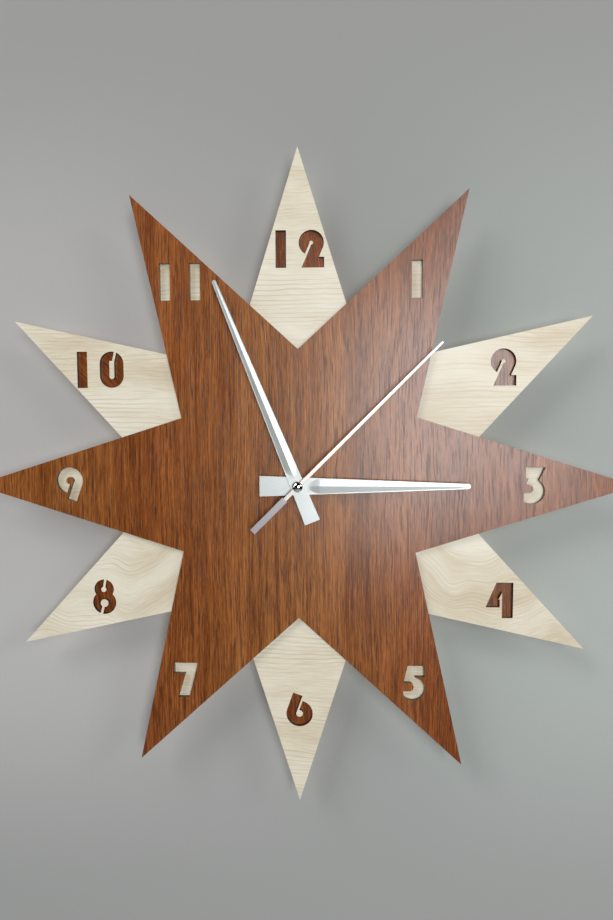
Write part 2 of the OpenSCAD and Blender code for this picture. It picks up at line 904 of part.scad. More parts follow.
module rotor_magnet() {
    color("#4a4c50") translate([rotor_at[0], rotor_at[1], magnet_z]) difference() {
        cylinder(h = magnet_t, r = magnet_r);
        translate([0, 0, -1]) cylinder(h = magnet_t + 2, d = arbor_d + 1);
    }
}

module rotor_arbor() {
    color(white_plastic) translate(rotor_at) {
        arbor(pivot_z, pivot_top, arbor_d);
        arbor(third_z + wheel_t + pinion_over, magnet_z + magnet_t, arbor_d + 1);
        pinion(rotor_teeth, rotor_module, rotor_a, third_z);
    }
}

module intermediate_wheel() {
    color(white_plastic) translate(intermediate_at) {
        arbor(pivot_z, plate_top, arbor_d);
        pinion(intermediate_pinion, second_module, intermediate_a, second_z);
        wheel(intermediate_teeth, rotor_module, intermediate_wheel_turn, third_z);
    }
}

module second_wheel() {
    color(white_plastic) {
        arbor(pivot_z, second_top, second_shaft_d);
        wheel(second_teeth, second_module, second_wheel_turn, second_z);
        pinion(second_pinion, third_module, third_a, third_z);
    }
}

module third_wheel() {
    color(white_plastic) translate(third_at) {
        arbor(pivot_z, pivot_top, arbor_d);
        wheel(third_teeth, third_module, third_wheel_turn, third_z);
        pinion(third_pinion, centre_module, third_a, centre_z);
    }
}

// wheel, cannon pinion and minute pipe in one
module centre_wheel() {
    color(white_plastic) difference() {
        union() {
            wheel(centre_teeth, centre_module, centre_wheel_turn, centre_z);
            translate([0, 0, centre_z]) linear_extrude(motion_z + wheel_t + pinion_over - centre_z)
                gear_plan(cannon_teeth, motion_module, pinion_tip, pinion_foot, motion_a);
            arbor(plate_z + 0.1, minute_top, minute_pipe_d);
        }
        arbor(plate_z - 1, minute_top + 1, second_shaft_d + 2 * run_gap);
    }
}

module motion_wheel() {
    color(white_plastic) translate(motion_at) {
        arbor(plate_z, pivot_top, arbor_d);
        wheel(motion_teeth, motion_module, motion_wheel_turn, motion_z);
        pinion(motion_pinion, motion_module, motion_a, hour_z);
    }
}

module hour_wheel() {
    color(white_plastic) difference() {
        union() {
            wheel(hour_teeth, motion_module, hour_wheel_turn, hour_z);
            arbor(hour_z, hour_top, hour_pipe_d);
        }
        arbor(hour_z - 1, hour_top + 1, minute_pipe_d + 2 * run_gap);
    }
}

module setting_knob() {
    notches = 18;
    knob_t = cover_z - 0.6;
    color(black_plastic) translate(knob_at) {
        translate([0, 0, 0.4]) linear_extrude(knob_t) difference() {
            circle(d = knob_d);
            for (i = [0 : notches - 1])
                translate(polar(knob_d / 2 + 0.4, i * 360 / notches)) circle(r = 0.8, $fn = 24);
        }
        arbor(0.4, pivot_top, knob_shaft_d);
        pinion(knob_pinion, motion_module, knob_turn, motion_z);
    }
}

// ---------------------------------------------------------------- hands

// a straight taper from the square end of the tail to a round tip
module hand_plan(length, tail, w0, w1, bore) {
    tip_r = w1 / 2;
    difference() {
        union() {
            polygon([
                [-w0 / 2, -tail], [w0 / 2, -tail], [tip_r, length - tip_r], [-tip_r, length - tip_r]
            ]);
            translate([0, length - tip_r]) circle(r = tip_r);
        }
        circle(d = bore);
    }
}

// a turned collar, riveted through its hand and pushed onto a pipe
module collar(z, pipe_d, top) {
    color(silver) difference() {
        union() {
            translate([0, 0, z]) cylinder(h = collar_l, d = pipe_d + 2 * collar_wall);
            translate([0, 0, z]) cylinder(h = top - z, d = pipe_d + 2 * neck_wall);
        }
        translate([0, 0, z - 1]) cylinder(h = top - z + 2, d = pipe_d);
    }
}

module hour_hand() {
    color(silver) translate([0, 0, hour_hand_z]) rotate(-hour_points) linear_extrude(hand_t)
        hand_plan(hour_l, hour_tail, hour_w0, hour_w1, hour_pipe_d + 2 * neck_wall);
}

module hour_collar() {
    collar(hour_collar_z, hour_pipe_d, hour_top);
}

module minute_hand() {
    color(silver) translate([0, 0, minute_hand_z]) rotate(-minute_points) linear_extrude(hand_t)
        hand_plan(minute_l, minute_tail, minute_w0, minute_w1, minute_pipe_d + 2 * neck_wall);
}

module minute_collar() {
    collar(minute_collar_z, minute_pipe_d, minute_top);
}

module second_hand() {
    tip_r = second_w1 / 2;
    color(silver) translate([0, 0, second_hand_z]) rotate(-second_points) linear_extrude(second_t)
        difference() {
            union() {
                polygon([
                    [-second_w0 / 2, 0], [second_w0 / 2, 0],
                    [tip_r, second_l - tip_r], [-tip_r, second_l - tip_r]
                ]);
                translate([0, second_l - tip_r]) circle(r = tip_r);
                translate([-second_w0 / 2, -neck_l - 1]) square([second_w0, neck_l + 2]);
                translate([-weight_w / 2, -second_tail]) square([weight_w, second_tail - neck_l]);
                circle(d = 2 * second_w0);
            }
            circle(d = second_shaft_d);
        }
}

module second_tube() {
    color(steel) ring(second_tube_z, second_hand_z - second_tube_z, 2.4, second_shaft_d);
}

// a shallow dome cut from a ball
module second_cap() {
    dome_r = (pow(cap_d / 2, 2) + pow(cap_h, 2)) / (2 * cap_h);
    color(silver) translate([0, 0, second_top]) intersection() {
        translate([0, 0, cap_h - dome_r]) sphere(r = dome_r, $fn = 96);
        cylinder(h = cap_h + 1, d = cap_d + 1);
    }
}

// ---------------------------------------------------------------- assembly

on_wall() walnut_star();
on_wall() maple_star();
on_wall() maple_backing(1);  // maple_backing_1
on_wall() maple_backing(3);  // maple_backing_3
on_wall() maple_backing(5);  // maple_backing_5
on_wall() maple_backing(7);  // maple_backing_7
on_wall() maple_backing(9);  // maple_backing_9
on_wall() maple_backing(11);  // maple_backing_11
on_wall() walnut_backing(12);  // walnut_backing_12
on_wall() walnut_backing(2);  // walnut_backing_2
on_wall() walnut_backing(4);  // walnut_backing_4
on_wall() walnut_backing(6);  // walnut_backing_6
on_wall() walnut_backing(8);  // walnut_backing_8
on_wall() walnut_backing(10);  // walnut_backing_10
on_wall() dial_gasket();
on_wall() post_washer();
on_wall() hex_nut();
on_wall() threaded_post();
on_wall() movement_case();
on_wall() movement_cover();
on_wall() gear_plate();
on_wall() battery();
on_wall() positive_contact();
on_wall() negative_contact();
on_wall() circuit_board();
on_wall() clock_chip();
on_wall() quartz_crystal();
on_wall() coil_core();
on_wall() coil_bobbin();
on_wall() coil_winding();
on_wall() coil_leads();
on_wall() stator();
on_wall() rotor_magnet();
on_wall() rotor_arbor();
on_wall() intermediate_wheel();
on_wall() second_wheel();
on_wall() third_wheel();
on_wall() centre_wheel();
on_wall() motion_wheel();
on_wall() hour_wheel();
on_wall() setting_knob();
on_wall() hour_hand();
on_wall() hour_collar();
on_wall() minute_hand();
on_wall() minute_collar();
on_wall() second_hand();
on_wall() second_tube();
on_wall() second_cap();
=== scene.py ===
"""Sunburst wall clock: two veneered stars, pressed aluminium hands and a quartz movement.

Most pieces are drawn on the bench in millimetres, as the clock lies on its back: the hand
axis is Z, the wall is the plane z = 0 and twelve o'clock lies along +Y. HANG turns and
scales a finished mesh into its place on the wall.
"""

import json
import math

import bmesh
import bpy
from mathutils import Matrix, Vector


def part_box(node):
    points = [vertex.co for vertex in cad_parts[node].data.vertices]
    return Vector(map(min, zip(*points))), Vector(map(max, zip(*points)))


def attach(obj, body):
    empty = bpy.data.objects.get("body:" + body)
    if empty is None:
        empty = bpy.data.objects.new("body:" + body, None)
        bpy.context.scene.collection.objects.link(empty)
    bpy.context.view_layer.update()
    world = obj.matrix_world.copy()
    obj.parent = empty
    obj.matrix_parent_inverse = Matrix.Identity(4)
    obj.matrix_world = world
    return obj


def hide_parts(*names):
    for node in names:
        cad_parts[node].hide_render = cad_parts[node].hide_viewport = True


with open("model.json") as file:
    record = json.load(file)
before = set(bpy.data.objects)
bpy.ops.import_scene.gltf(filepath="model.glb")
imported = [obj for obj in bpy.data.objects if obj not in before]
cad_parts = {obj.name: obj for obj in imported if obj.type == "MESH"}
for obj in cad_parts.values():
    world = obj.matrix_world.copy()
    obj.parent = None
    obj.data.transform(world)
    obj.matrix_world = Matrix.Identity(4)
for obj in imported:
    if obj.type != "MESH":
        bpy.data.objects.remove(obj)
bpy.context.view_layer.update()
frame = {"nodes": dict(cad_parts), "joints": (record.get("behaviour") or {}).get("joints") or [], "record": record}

NODES = frame["nodes"]
RECORD = frame["record"]
JOINTS = {joint["name"]: joint for joint in frame["joints"]}
BODY_OF = {
    node: body for body, nodes in RECORD["behaviour"]["bodies"].items() for node in nodes
}

MM = 0.001
AXIS_Z = JOINTS["second_hand_turn"]["pos_m"][2]
HANG = (
    Matrix.Translation((0, 0, AXIS_Z))
    @ Matrix.Rotation(math.radians(90), 4, "X")
    @ Matrix.Scale(MM, 4)
)


def bench_box(node):
    """Lowest and highest corners of a CAD node on the bench, in millimetres."""
    low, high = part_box(node)
    return (
        Vector((low.x, low.z - AXIS_Z, -high.y)) / MM,
        Vector((high.x, high.z - AXIS_Z, -low.y)) / MM,
    )


def bench_axis(joint):
    """Where a joint's axis stands on the bench, in millimetres."""
    x, _, z = JOINTS[joint]["pos_m"]
    return Vector((x, z - AXIS_Z)) / MM


# ------------------------------------------------------------------ finishes


class Finish:
    """A material's node tree, built by short calls that give back output sockets."""

    def __init__(self, name):
        self.material = bpy.data.materials.new(name)
        self.material.use_nodes = True
        self.tree = self.material.node_tree
        self.tree.nodes.clear()
        self.shader = self.tree.nodes.new("ShaderNodeBsdfPrincipled")
        self.surface = self.tree.nodes.new("ShaderNodeOutputMaterial").inputs["Surface"]
        self.tree.links.new(self.shader.outputs[0], self.surface)
        coordinates = self.tree.nodes.new("ShaderNodeTexCoord")
        self.normal = coordinates.outputs["Normal"]
        self.mm = self.vector("MULTIPLY", coordinates.outputs["Object"], (1 / MM,) * 3)

    def feed(self, socket, value):
        """Links a socket to another one, or sets it to a number or a colour."""
        if isinstance(value, bpy.types.NodeSocket):
            self.tree.links.new(value, socket)
        elif hasattr(socket.default_value, "__len__") and len(socket.default_value) == 4:
            socket.default_value = (*value[:3], 1)
        else:
            socket.default_value = value

    def node(self, kind, **settings):
        made = self.tree.nodes.new("ShaderNode" + kind)
        for key, value in settings.items():
            setattr(made, key, value)
        return made

    def vector(self, operation, a, b):
        made = self.node("VectorMath", operation=operation)
        self.feed(made.inputs[0], a)
        self.feed(made.inputs[1], b)
        return made.outputs[0]

    def math(self, operation, *values):
        made = self.node("Math", operation=operation)
        for socket, value in zip(made.inputs, values):
            self.feed(socket, value)
        return made.outputs[0]

    def times(self, a, b):
        return self.math("MULTIPLY", a, b)

    def plus(self, a, b):
        return self.math("ADD", a, b)

    def parts(self, vector):
        made = self.node("SeparateXYZ")
        self.feed(made.inputs[0], vector)
        return made.outputs

    def joined(self, x, y, z):
        made = self.node("CombineXYZ")
        for socket, value in zip(made.inputs, (x, y, z)):
            self.feed(socket, value)
        return made.outputs[0]

    def noise(self, place, scale=1.0, detail=3.0, roughness=0.5):
        made = self.node("TexNoise", noise_dimensions="3D")
        for name, value in (
            ("Vector", place), ("Scale", scale), ("Detail", detail), ("Roughness", roughness),
        ):
            self.feed(made.inputs[name], value)
        return made.outputs["Fac"]

    def specks(self, place):
        """Distance to the nearest of many scattered points."""
        made = self.node("TexVoronoi", feature="F1")
        self.feed(made.inputs["Vector"], place)
        return made.outputs["Distance"]

    def spread(self, value, low, high, to_low=0.0, to_high=1.0):
        """value from low to high, as a smooth step from to_low to to_high."""
        made = self.node("MapRange", interpolation_type="SMOOTHSTEP")
        for socket, number in zip(made.inputs, (value, low, high, to_low, to_high)):
            self.feed(socket, number)
        return made.outputs[0]

    def ramp(self, value, *stops):
        """A colour that runs through the stops, each a place from 0 to 1 and a colour."""
        made = self.node("ValToRGB")
        self.feed(made.inputs[0], value)
        points = made.color_ramp.elements
        while len(points) < len(stops):
            points.new(0.5)
        for point, (position, colour) in zip(points, stops):
            point.position = position
            point.color = (*colour, 1)
        return made.outputs[0]

    def mix(self, share, a, b, blend="MIX"):
        made = self.node("Mix", data_type="RGBA", blend_type=blend)
        self.feed(made.inputs["Factor"], share)
        self.feed(made.inputs[6], a)
        self.feed(made.inputs[7], b)
        return made.outputs[2]

    def bump(self, height, depth):
        """height from 0 to 1 stands for depth millimetres."""
        made = self.node("Bump")
        self.feed(made.inputs["Height"], height)
        made.inputs["Strength"].default_value = 1
        made.inputs["Distance"].default_value = depth * MM
        return made.outputs[0]

    def surface_of(self, **values):
        """Sets the shader's sockets and hands back the material."""
        for name, value in values.items():
            self.feed(self.shader.inputs[name.replace("_", " ")], value)
        return self.material

    def on_face(self):
        """1 on the faces of a board, 0 on its cut edges."""
        across = self.math("ABSOLUTE", self.parts(self.normal)[1])
        return self.math("GREATER_THAN", across, 0.5)


def burnt_edge(finish, light, dark):
    """Colour of a laser-cut edge: scorched, with fine marks through the board's thickness."""
    marks = finish.noise(finish.vector("MULTIPLY", finish.mm, (2.4, 0.12, 2.4)), 1, 4, 0.7)
    return finish.ramp(marks, (0.3, dark), (0.7, light))


STAR_LOW, STAR_HIGH = bench_box("walnut_star")
BOARD_WIDTH = STAR_HIGH.x - STAR_LOW.x
# share of the golden tone at places across the board, from its left point to its right one: partly the wood's own
# tone, partly painted sheen where the walnut mirrors the lamps
GOLDEN_TONE_AND_SHEEN_SHARES = (
    (0.05, 0.75), (0.20, 0.70), (0.28, 0.22), (0.37, 0.50), (0.49, 1.00), (0.62, 0.50), (0.72, 0.15),
)
PORE_BROWN = (0.058, 0.0145, 0.0035)
FLECK_TAN = (0.47, 0.20, 0.065)
MAPLE_LINE = (0.56, 0.435, 0.270)
MAPLE_FLECK = (0.56, 0.45, 0.31)


def walnut_veneer(name, turn=0.0, shift=(0.0, 0.0, 0.0)):
    """Printed walnut laminate with upright grain; turn leans the grain, in degrees."""
    f = Finish(name)
    turned = f.node("VectorRotate", rotation_type="Y_AXIS")
    f.feed(turned.inputs["Vector"], f.vector("ADD", f.mm, shift))
    turned.inputs["Angle"].default_value = math.radians(turn)
    x, _, z = f.parts(turned.outputs[0])
    drift = f.noise(f.joined(f.times(x, 0.02), 0.0, f.times(z, 0.008)), 1, 2)
    x = f.plus(x, f.times(drift, 9.0))

    def streaks(across, along, detail, roughness, layer):
        """Streaks up the grain: across and along are waves in a millimetre."""
        place = f.joined(f.times(x, across), layer, f.times(z, along))
        return f.noise(place, 1, detail, roughness)

    bands = streaks(0.05, 0.003, 2, 0.5, 3.1)
    stripes = streaks(0.26, 0.010, 3, 0.55, 7.7)
    fibres = streaks(1.4, 0.022, 4, 0.7, 1.3)
    fine = streaks(2.6, 0.11, 3, 0.7, 5.9)
    pores = streaks(1.7, 0.055, 2, 0.6, 9.4)
    tone = f.plus(f.times(bands, 0.16), f.times(stripes, 0.12))
    tone = f.plus(tone, f.times(fibres, 0.40))
    tone = f.plus(tone, f.times(fine, 0.32))
    red = f.ramp(
        tone,
        (0.415, (0.094, 0.0215, 0.0035)),
        (0.455, (0.145, 0.0345, 0.0056)),
        (0.495, (0.206, 0.0500, 0.0086)),
        (0.540, (0.275, 0.0710, 0.0135)),
        (0.590, (0.375, 0.1080, 0.0250)),
    )
    gold = f.ramp(
        tone,
        (0.415, (0.150, 0.0430, 0.0080)),
        (0.455, (0.225, 0.0740, 0.0150)),
        (0.495, (0.300, 0.1080, 0.0250)),
        (0.540, (0.370, 0.1450, 0.0380)),
        (0.590, (0.470, 0.2000, 0.0620)),
    )
    # the golden tone follows the stripes and, by place across the board, partly stands for painted sheen
    across = f.math("MULTIPLY_ADD", x, 1 / BOARD_WIDTH, 0.5)
    tone_and_sheen_share = f.ramp(across, *((place, (share,) * 3) for place, share in GOLDEN_TONE_AND_SHEEN_SHARES))
    wood = f.mix(f.times(tone_and_sheen_share, f.spread(stripes, 0.25, 0.55, 0.55, 1.0)), red, gold)
    pits = f.spread(pores, 0.54, 0.64)
    wood = f.mix(f.times(pits, 0.84), wood, PORE_BROWN)
    flecks = f.spread(fine, 0.58, 0.72)
    wood = f.mix(f.times(flecks, 0.40), wood, FLECK_TAN)
    edge = burnt_edge(f, (0.060, 0.022, 0.010), (0.012, 0.005, 0.003))
    grip = f.math("SUBTRACT", fine, f.times(pits, 0.8))
    return f.surface_of(
        Base_Color=f.mix(f.on_face(), edge, wood),
        Roughness=f.spread(f.plus(fibres, pits), 0.35, 1.2, 0.25, 0.33),
        Specular_IOR_Level=0.55,
        Normal=f.bump(grip, 0.014),
    )


def maple_veneer(name, shift=(0.0, 0.0, 0.0)):
    """Pale maple laminate, grain across, that curls on the rays at four and at eight."""
    f = Finish(name)
    x, _, z = f.parts(f.vector("ADD", f.mm, shift))
    sway = f.noise(f.joined(f.times(x, 0.012), 2.0, f.times(z, 0.03)), 1, 2)
    low_rays = f.times(f.spread(f.math("ABSOLUTE", x), 60, 110), f.spread(z, -40, -60))
    curl = f.noise(f.joined(f.times(x, 0.020), 5.0, f.times(z, 0.016)), 1, 1)
    bend = f.times(f.times(low_rays, curl), 55.0)
    z = f.plus(f.plus(z, f.times(sway, 12.0)), bend)

    def streaks(along, across, detail, roughness, layer):
        place = f.joined(f.times(x, along), layer, f.times(z, across))
        return f.noise(place, 1, detail, roughness)

    rise = f.times(z, 2.05)
    wander = f.times(streaks(0.01, 0.05, 2, 0.5, 4.0), 9.0)
    rings = f.math("SINE", f.plus(rise, wander))
    strength = f.spread(streaks(0.009, 0.07, 2, 0.5, 8.2), 0.38, 0.66)
    lines = f.times(f.spread(rings, 0.45, 1.0), strength)
    fibres = streaks(0.07, 1.3, 4, 0.65, 1.1)
    clouds = streaks(0.010, 0.035, 3, 0.5, 6.3)
    fleck = f.specks(f.joined(f.times(x, 0.35), 0.5, f.times(z, 1.6)))
    wood = f.ramp(
        f.plus(f.times(clouds, 0.6), f.times(fibres, 0.4)),
        (0.38, (0.655, 0.560, 0.405)),
        (0.50, (0.770, 0.710, 0.560)),
        (0.62, (0.855, 0.815, 0.690)),
    )
    wood = f.mix(f.times(lines, 0.50), wood, MAPLE_LINE)
    wood = f.mix(f.spread(fleck, 0.20, 0.04, 0.0, 0.30), wood, MAPLE_FLECK)
    edge = burnt_edge(f, (0.085, 0.034, 0.014), (0.020, 0.008, 0.004))
    return f.surface_of(
        Base_Color=f.mix(f.on_face(), edge, wood),
        Roughness=f.spread(fibres, 0.3, 0.7, 0.36, 0.46),
        Specular_IOR_Level=0.5,
        Normal=f.bump(fibres, 0.012),
    )


def shaded(colour, share):
    """A colour with this share of its light."""
    return [c * share for c in colour]


def brushed_metal(name, colour, along, roughness, tail=None, tail_from=0.0):
    """Metal brushed in the direction `along`, a unit vector on the dial's plane.

    A tail colour, where there is one, starts tail_from millimetres behind the axis.
    """
    f = Finish(name)
    x, y, z = f.parts(f.mm)
    length = f.plus(f.times(x, along[0]), f.times(z, along[1]))
    width = f.math("SUBTRACT", f.times(x, along[1]), f.times(z, along[0]))
    place = f.joined(f.times(length, 0.12), y, f.times(width, 5.0))
    hair = f.noise(place, 1, 4, 0.75)
    smudge = f.noise(f.mm, 0.07, 2, 0.5)
    tone = f.mix(f.spread(hair, 0.3, 0.7), shaded(colour, 0.90), colour)
    if tail:
        behind = f.math("LESS_THAN", length, tail_from + AXIS_Z / MM * along[1])
        tone = f.mix(behind, tone, f.mix(f.spread(hair, 0.3, 0.7), shaded(tail, 0.85), tail))
    haze = f.plus(hair, smudge)
    return f.surface_of(
        Base_Color=f.mix(f.spread(smudge, 0.45, 0.7, 0.0, 0.05), tone, shaded(colour, 0.85)),
        Metallic=0.72,
        Roughness=f.spread(haze, 0.6, 1.4, roughness - 0.04, roughness + 0.08),
        Specular_IOR_Level=0.5,
        Normal=f.bump(hair, 0.004),
    )


def turned_metal(name, colour, roughness, wear=0.25):
    """Bright metal with faint tool marks and dull patches."""
    f = Finish(name)
    marks = f.noise(f.mm, 2.2, 4, 0.7)
    patches = f.noise(f.mm, 0.35, 3, 0.55)
    dull = f.spread(patches, 0.45, 0.8, 0.0, wear)
    return f.surface_of(
        Base_Color=f.mix(dull, colour, shaded(colour, 0.55)),
        Metallic=1.0,
        Roughness=f.spread(f.plus(marks, dull), 0.4, 1.1, roughness - 0.06, roughness + 0.2),
        Normal=f.bump(marks, 0.006),
    )


def moulded_plastic(name, colour, roughness, grain):
    """Moulded plastic with a spark-eroded texture and slight flow marks."""
    f = Finish(name)
    texture = f.noise(f.mm, 4.5, 3, 0.6)
    flow = f.noise(f.vector("MULTIPLY", f.mm, (0.12, 0.3, 0.05)), 1, 3, 0.55)
    rubbed = f.spread(flow, 0.35, 0.7)
    skin = f.plus(texture, flow)
    return f.surface_of(
        Base_Color=f.mix(rubbed, shaded(colour, 0.82), shaded(colour, 1.12)),
        Roughness=f.spread(skin, 0.7, 1.3, roughness - 0.06, roughness + 0.1),
        Specular_IOR_Level=0.45,
        Normal=f.bump(texture, grain),
    )


def soft_rubber(name):
    """Black rubber with a pale bloom on it."""
    f = Finish(name)
    bloom = f.spread(f.noise(f.mm, 0.6, 4, 0.6), 0.45, 0.75, 0.0, 0.5)
    skin = f.noise(f.mm, 6, 3, 0.7)
    return f.surface_of(
        Base_Color=f.mix(bloom, (0.016, 0.016, 0.017), (0.05, 0.05, 0.05)),
        Roughness=f.spread(skin, 0.3, 0.7, 0.62, 0.82),
        Specular_IOR_Level=0.3,
        Normal=f.bump(skin, 0.03),
    )


def lacquered_board(name):
    """Green circuit laminate: the weave of the glass shows through the lacquer."""
    f = Finish(name)
    x, _, z = f.parts(f.mm)
    warp = f.math("SINE", f.times(x, 11.0))
    weft = f.math("SINE", f.times(z, 11.0))
    weave = f.times(warp, weft)
    return f.surface_of(
        Base_Color=f.mix(f.spread(weave, -1, 1), (0.010, 0.085, 0.030), (0.018, 0.125, 0.045)),
        Roughness=0.3,
        Coat_Weight=0.4,
        Coat_Roughness=0.12,
        Normal=f.bump(weave, 0.01),
    )


def cell_jacket(name, low, high):
    """The cell's printed sleeve, dark over most of its length with a bright band."""
    f = Finish(name)
    x = f.parts(f.mm)[0]
    length = high - low
    share = f.math("DIVIDE", f.math("SUBTRACT", x, low), length)
    flakes = f.noise(f.mm, 5, 2, 0.6)
    scuffs = f.noise(f.vector("MULTIPLY", f.mm, (0.4, 2.5, 2.5)), 1, 4, 0.7)
    graphite = f.mix(flakes, (0.030, 0.032, 0.036), (0.052, 0.055, 0.062))
    bronze = f.mix(flakes, (0.42, 0.20, 0.085), (0.56, 0.29, 0.13))
    band = f.math("GREATER_THAN", share, 0.70)
    ring = f.math("COMPARE", share, 0.675, 0.008)
    colour = f.mix(band, graphite, bronze)
    colour = f.mix(ring, colour, (0.62, 0.62, 0.60))
    return f.surface_of(
        Base_Color=f.mix(f.spread(scuffs, 0.66, 0.8, 0.0, 0.3), colour, (0.25, 0.25, 0.25)),
        Metallic=0.55,
        Roughness=f.spread(scuffs, 0.3, 0.8, 0.26, 0.44),
        Coat_Weight=0.35,
        Coat_Roughness=0.1,
        Normal=f.bump(flakes, 0.004),
    )


def wound_wire(name):
    """Enamelled copper: clear reddish lacquer over bright metal."""
    f = Finish(name)
    streak = f.noise(f.vector("MULTIPLY", f.mm, (3.0, 0.5, 0.5)), 1, 3, 0.6)
    return f.surface_of(
        Base_Color=f.mix(streak, (0.42, 0.13, 0.045), (0.68, 0.27, 0.11)),
        Metallic=1.0,
        Roughness=f.spread(streak, 0.3, 0.7, 0.24, 0.36),
        Coat_Weight=0.6,
        Coat_Roughness=0.08,
        Normal=f.bump(streak, 0.004),
    )


def black_resin(name):
    """Poured resin: smooth, with shallow waves left as it set."""
    f = Finish(name)
    skin = f.noise(f.mm, 1.4, 4, 0.5)
    return f.surface_of(
        Base_Color=f.mix(skin, (0.010, 0.010, 0.011), (0.022, 0.022, 0.024)),
        Roughness=f.spread(skin, 0.3, 0.7, 0.16, 0.3),
        Coat_Weight=0.3,
        Coat_Roughness=0.08,
        Normal=f.bump(skin, 0.05),
    )


def sintered_magnet(name):
    """Dull grey pressed magnet with a sandy skin."""
    f = Finish(name)
    grit = f.noise(f.mm, 9, 4, 0.7)
    return f.surface_of(
        Base_Color=f.mix(grit, (0.045, 0.046, 0.050), (0.13, 0.13, 0.14)),
        Metallic=0.7,
        Roughness=f.spread(grit, 0.3, 0.7, 0.42, 0.62),
        Normal=f.bump(grit, 0.015),
    )


def wall_paint(name):
    """Matt grey paint, rolled on, with painted light: brighter to the left, darker far above and below the clock
    and lighter towards the bottom; it hides the room behind it from the front alone.
    """
    f = Finish(name)
    roller = f.noise(f.mm, 0.55, 4, 0.6)
    clouds = f.times(f.noise(f.mm, 0.004, 3, 0.5), 120.0)
    x, _, z = f.parts(f.mm)
    # painted light: a pool of light, brighter to the left and darkest right of the clock, its edges wavering with
    # the clouds
    painted_light_tint = f.ramp(
        f.spread(f.plus(x, clouds), -180, 300),
        (0.00, (0.455, 0.450, 0.442)),
        (0.33, (0.390, 0.386, 0.380)),
        (0.58, (0.335, 0.342, 0.334)),
        (0.78, (0.340, 0.368, 0.352)),
        (1.00, (0.398, 0.428, 0.408)),
    )
    # painted shade: darker far above and below the clock's axis
    height = f.math("ABSOLUTE", f.math("SUBTRACT", z, AXIS_Z / MM))
    painted_light_tint = f.mix(f.spread(height, 120, 330), painted_light_tint, (0.325, 0.330, 0.322))
    # painted light: lighter towards the bottom
    painted_light_lower = f.mix(1.0, painted_light_tint, (1.12, 1.13, 1.14), "MULTIPLY")
    painted_light_tint = f.mix(f.spread(z, 60, -180), painted_light_tint, painted_light_lower)
    f.surface_of(
        Base_Color=f.mix(f.spread(roller, 0.3, 0.7, 0.0, 0.08), painted_light_tint, (0.34, 0.34, 0.335)),
        Roughness=f.spread(roller, 0.3, 0.7, 0.62, 0.72),
        Specular_IOR_Level=0.3,
        Normal=f.bump(roller, 0.05),
    )
    behind = f.tree.nodes.new("ShaderNodeNewGeometry").outputs["Backfacing"]
    shadow = f.tree.nodes.new("ShaderNodeLightPath").outputs["Is Shadow Ray"]
    clear = f.node("BsdfTransparent")
    choice = f.node("MixShader")
    f.feed(choice.inputs[0], f.math("MAXIMUM", behind, shadow))
    f.tree.links.new(f.shader.outputs[0], choice.inputs[1])
    f.tree.links.new(clear.outputs[0], choice.inputs[2])
    f.tree.links.new(choice.outputs[0], f.surface)
    return f.material


def floor_finish(name):
    """A plain pale floor."""
    f = Finish(name)
    cloud = f.noise(f.mm, 0.004, 3, 0.5)
    return f.surface_of(
        Base_Color=f.mix(cloud, (0.56, 0.55, 0.53), (0.64, 0.63, 0.61)),
        Roughness=0.7,
    )


WALNUT = walnut_veneer("walnut_veneer")
WALNUT_BEHIND = walnut_veneer("walnut_veneer_behind", 4, (420, 0, 90))
WALNUT_LEANING = walnut_veneer("walnut_veneer_leaning", 38, (210, 0, 60))
MAPLE = maple_veneer("maple_veneer")
MAPLE_BEHIND = maple_veneer("maple_veneer_behind", (130, 0, 310))
STEEL = turned_metal("plated_steel", (0.58, 0.585, 0.60), 0.26)
BRASS = turned_metal("turned_brass", (0.72, 0.50, 0.20), 0.24)
SPRING_BRASS = turned_metal("nickel_strip", (0.66, 0.64, 0.58), 0.3)
CHROME = turned_metal("polished_chrome", (0.80, 0.80, 0.81), 0.09, 0.05)
CASE_BLACK = moulded_plastic("moulded_black", (0.026, 0.026, 0.029), 0.48, 0.03)
KNOB_BLACK = moulded_plastic("moulded_knob", (0.034, 0.034, 0.037), 0.4, 0.02)
ACETAL = moulded_plastic("white_acetal", (0.74, 0.74, 0.70), 0.38, 0.006)
PLATE_WHITE = moulded_plastic("cream_plate", (0.70, 0.68, 0.60), 0.42, 0.01)
BOBBIN_BLUE = moulded_plastic("bobbin_blue", (0.055, 0.15, 0.30), 0.4, 0.008)
RUBBER = soft_rubber("black_rubber")
BOARD_GREEN = lacquered_board("lacquered_board")
RESIN = black_resin("black_resin")
CAN = turned_metal("drawn_can", (0.72, 0.72, 0.73), 0.16)
COPPER = wound_wire("enamelled_copper")
MAGNET = sintered_magnet("sintered_magnet")


# ------------------------------------------------------------------ making pieces


FLAT_ANGLE = 0.8


def linked(name, mesh):
    piece = bpy.data.objects.new(name, mesh)
    bpy.context.scene.collection.objects.link(piece)
    return piece


def painted(piece, material):
    piece.data.materials.clear()
    piece.data.materials.append(material)


def added(piece, material, body):
    """Gives a finished piece its material and its body; it replaces no node."""
    painted(piece, material)
    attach(piece, body)
    return piece


def placed(piece, material, node):
    """Gives a finished piece its material and puts it in the stead of its CAD node."""
    added(piece, material, BODY_OF[node])
    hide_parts(node)
    return piece


def smoothed(mesh, angle=32):
    """Smooth shading, with edges kept sharp above this angle."""
    mesh.shade_smooth()
    mesh.set_sharp_from_angle(angle=math.radians(angle))
    return mesh


def drawn(name, shape, place=None, sharp=32):
    """A mesh object from a bmesh drawn on the bench, in millimetres."""
    bmesh.ops.remove_doubles(shape, verts=shape.verts, dist=1e-5)
    bmesh.ops.recalc_face_normals(shape, faces=shape.faces)
    mesh = bpy.data.meshes.new(name)
    shape.to_mesh(mesh)
    shape.free()
    mesh.transform(HANG @ (place or Matrix.Identity(4)))
    return linked(name, smoothed(mesh, sharp))


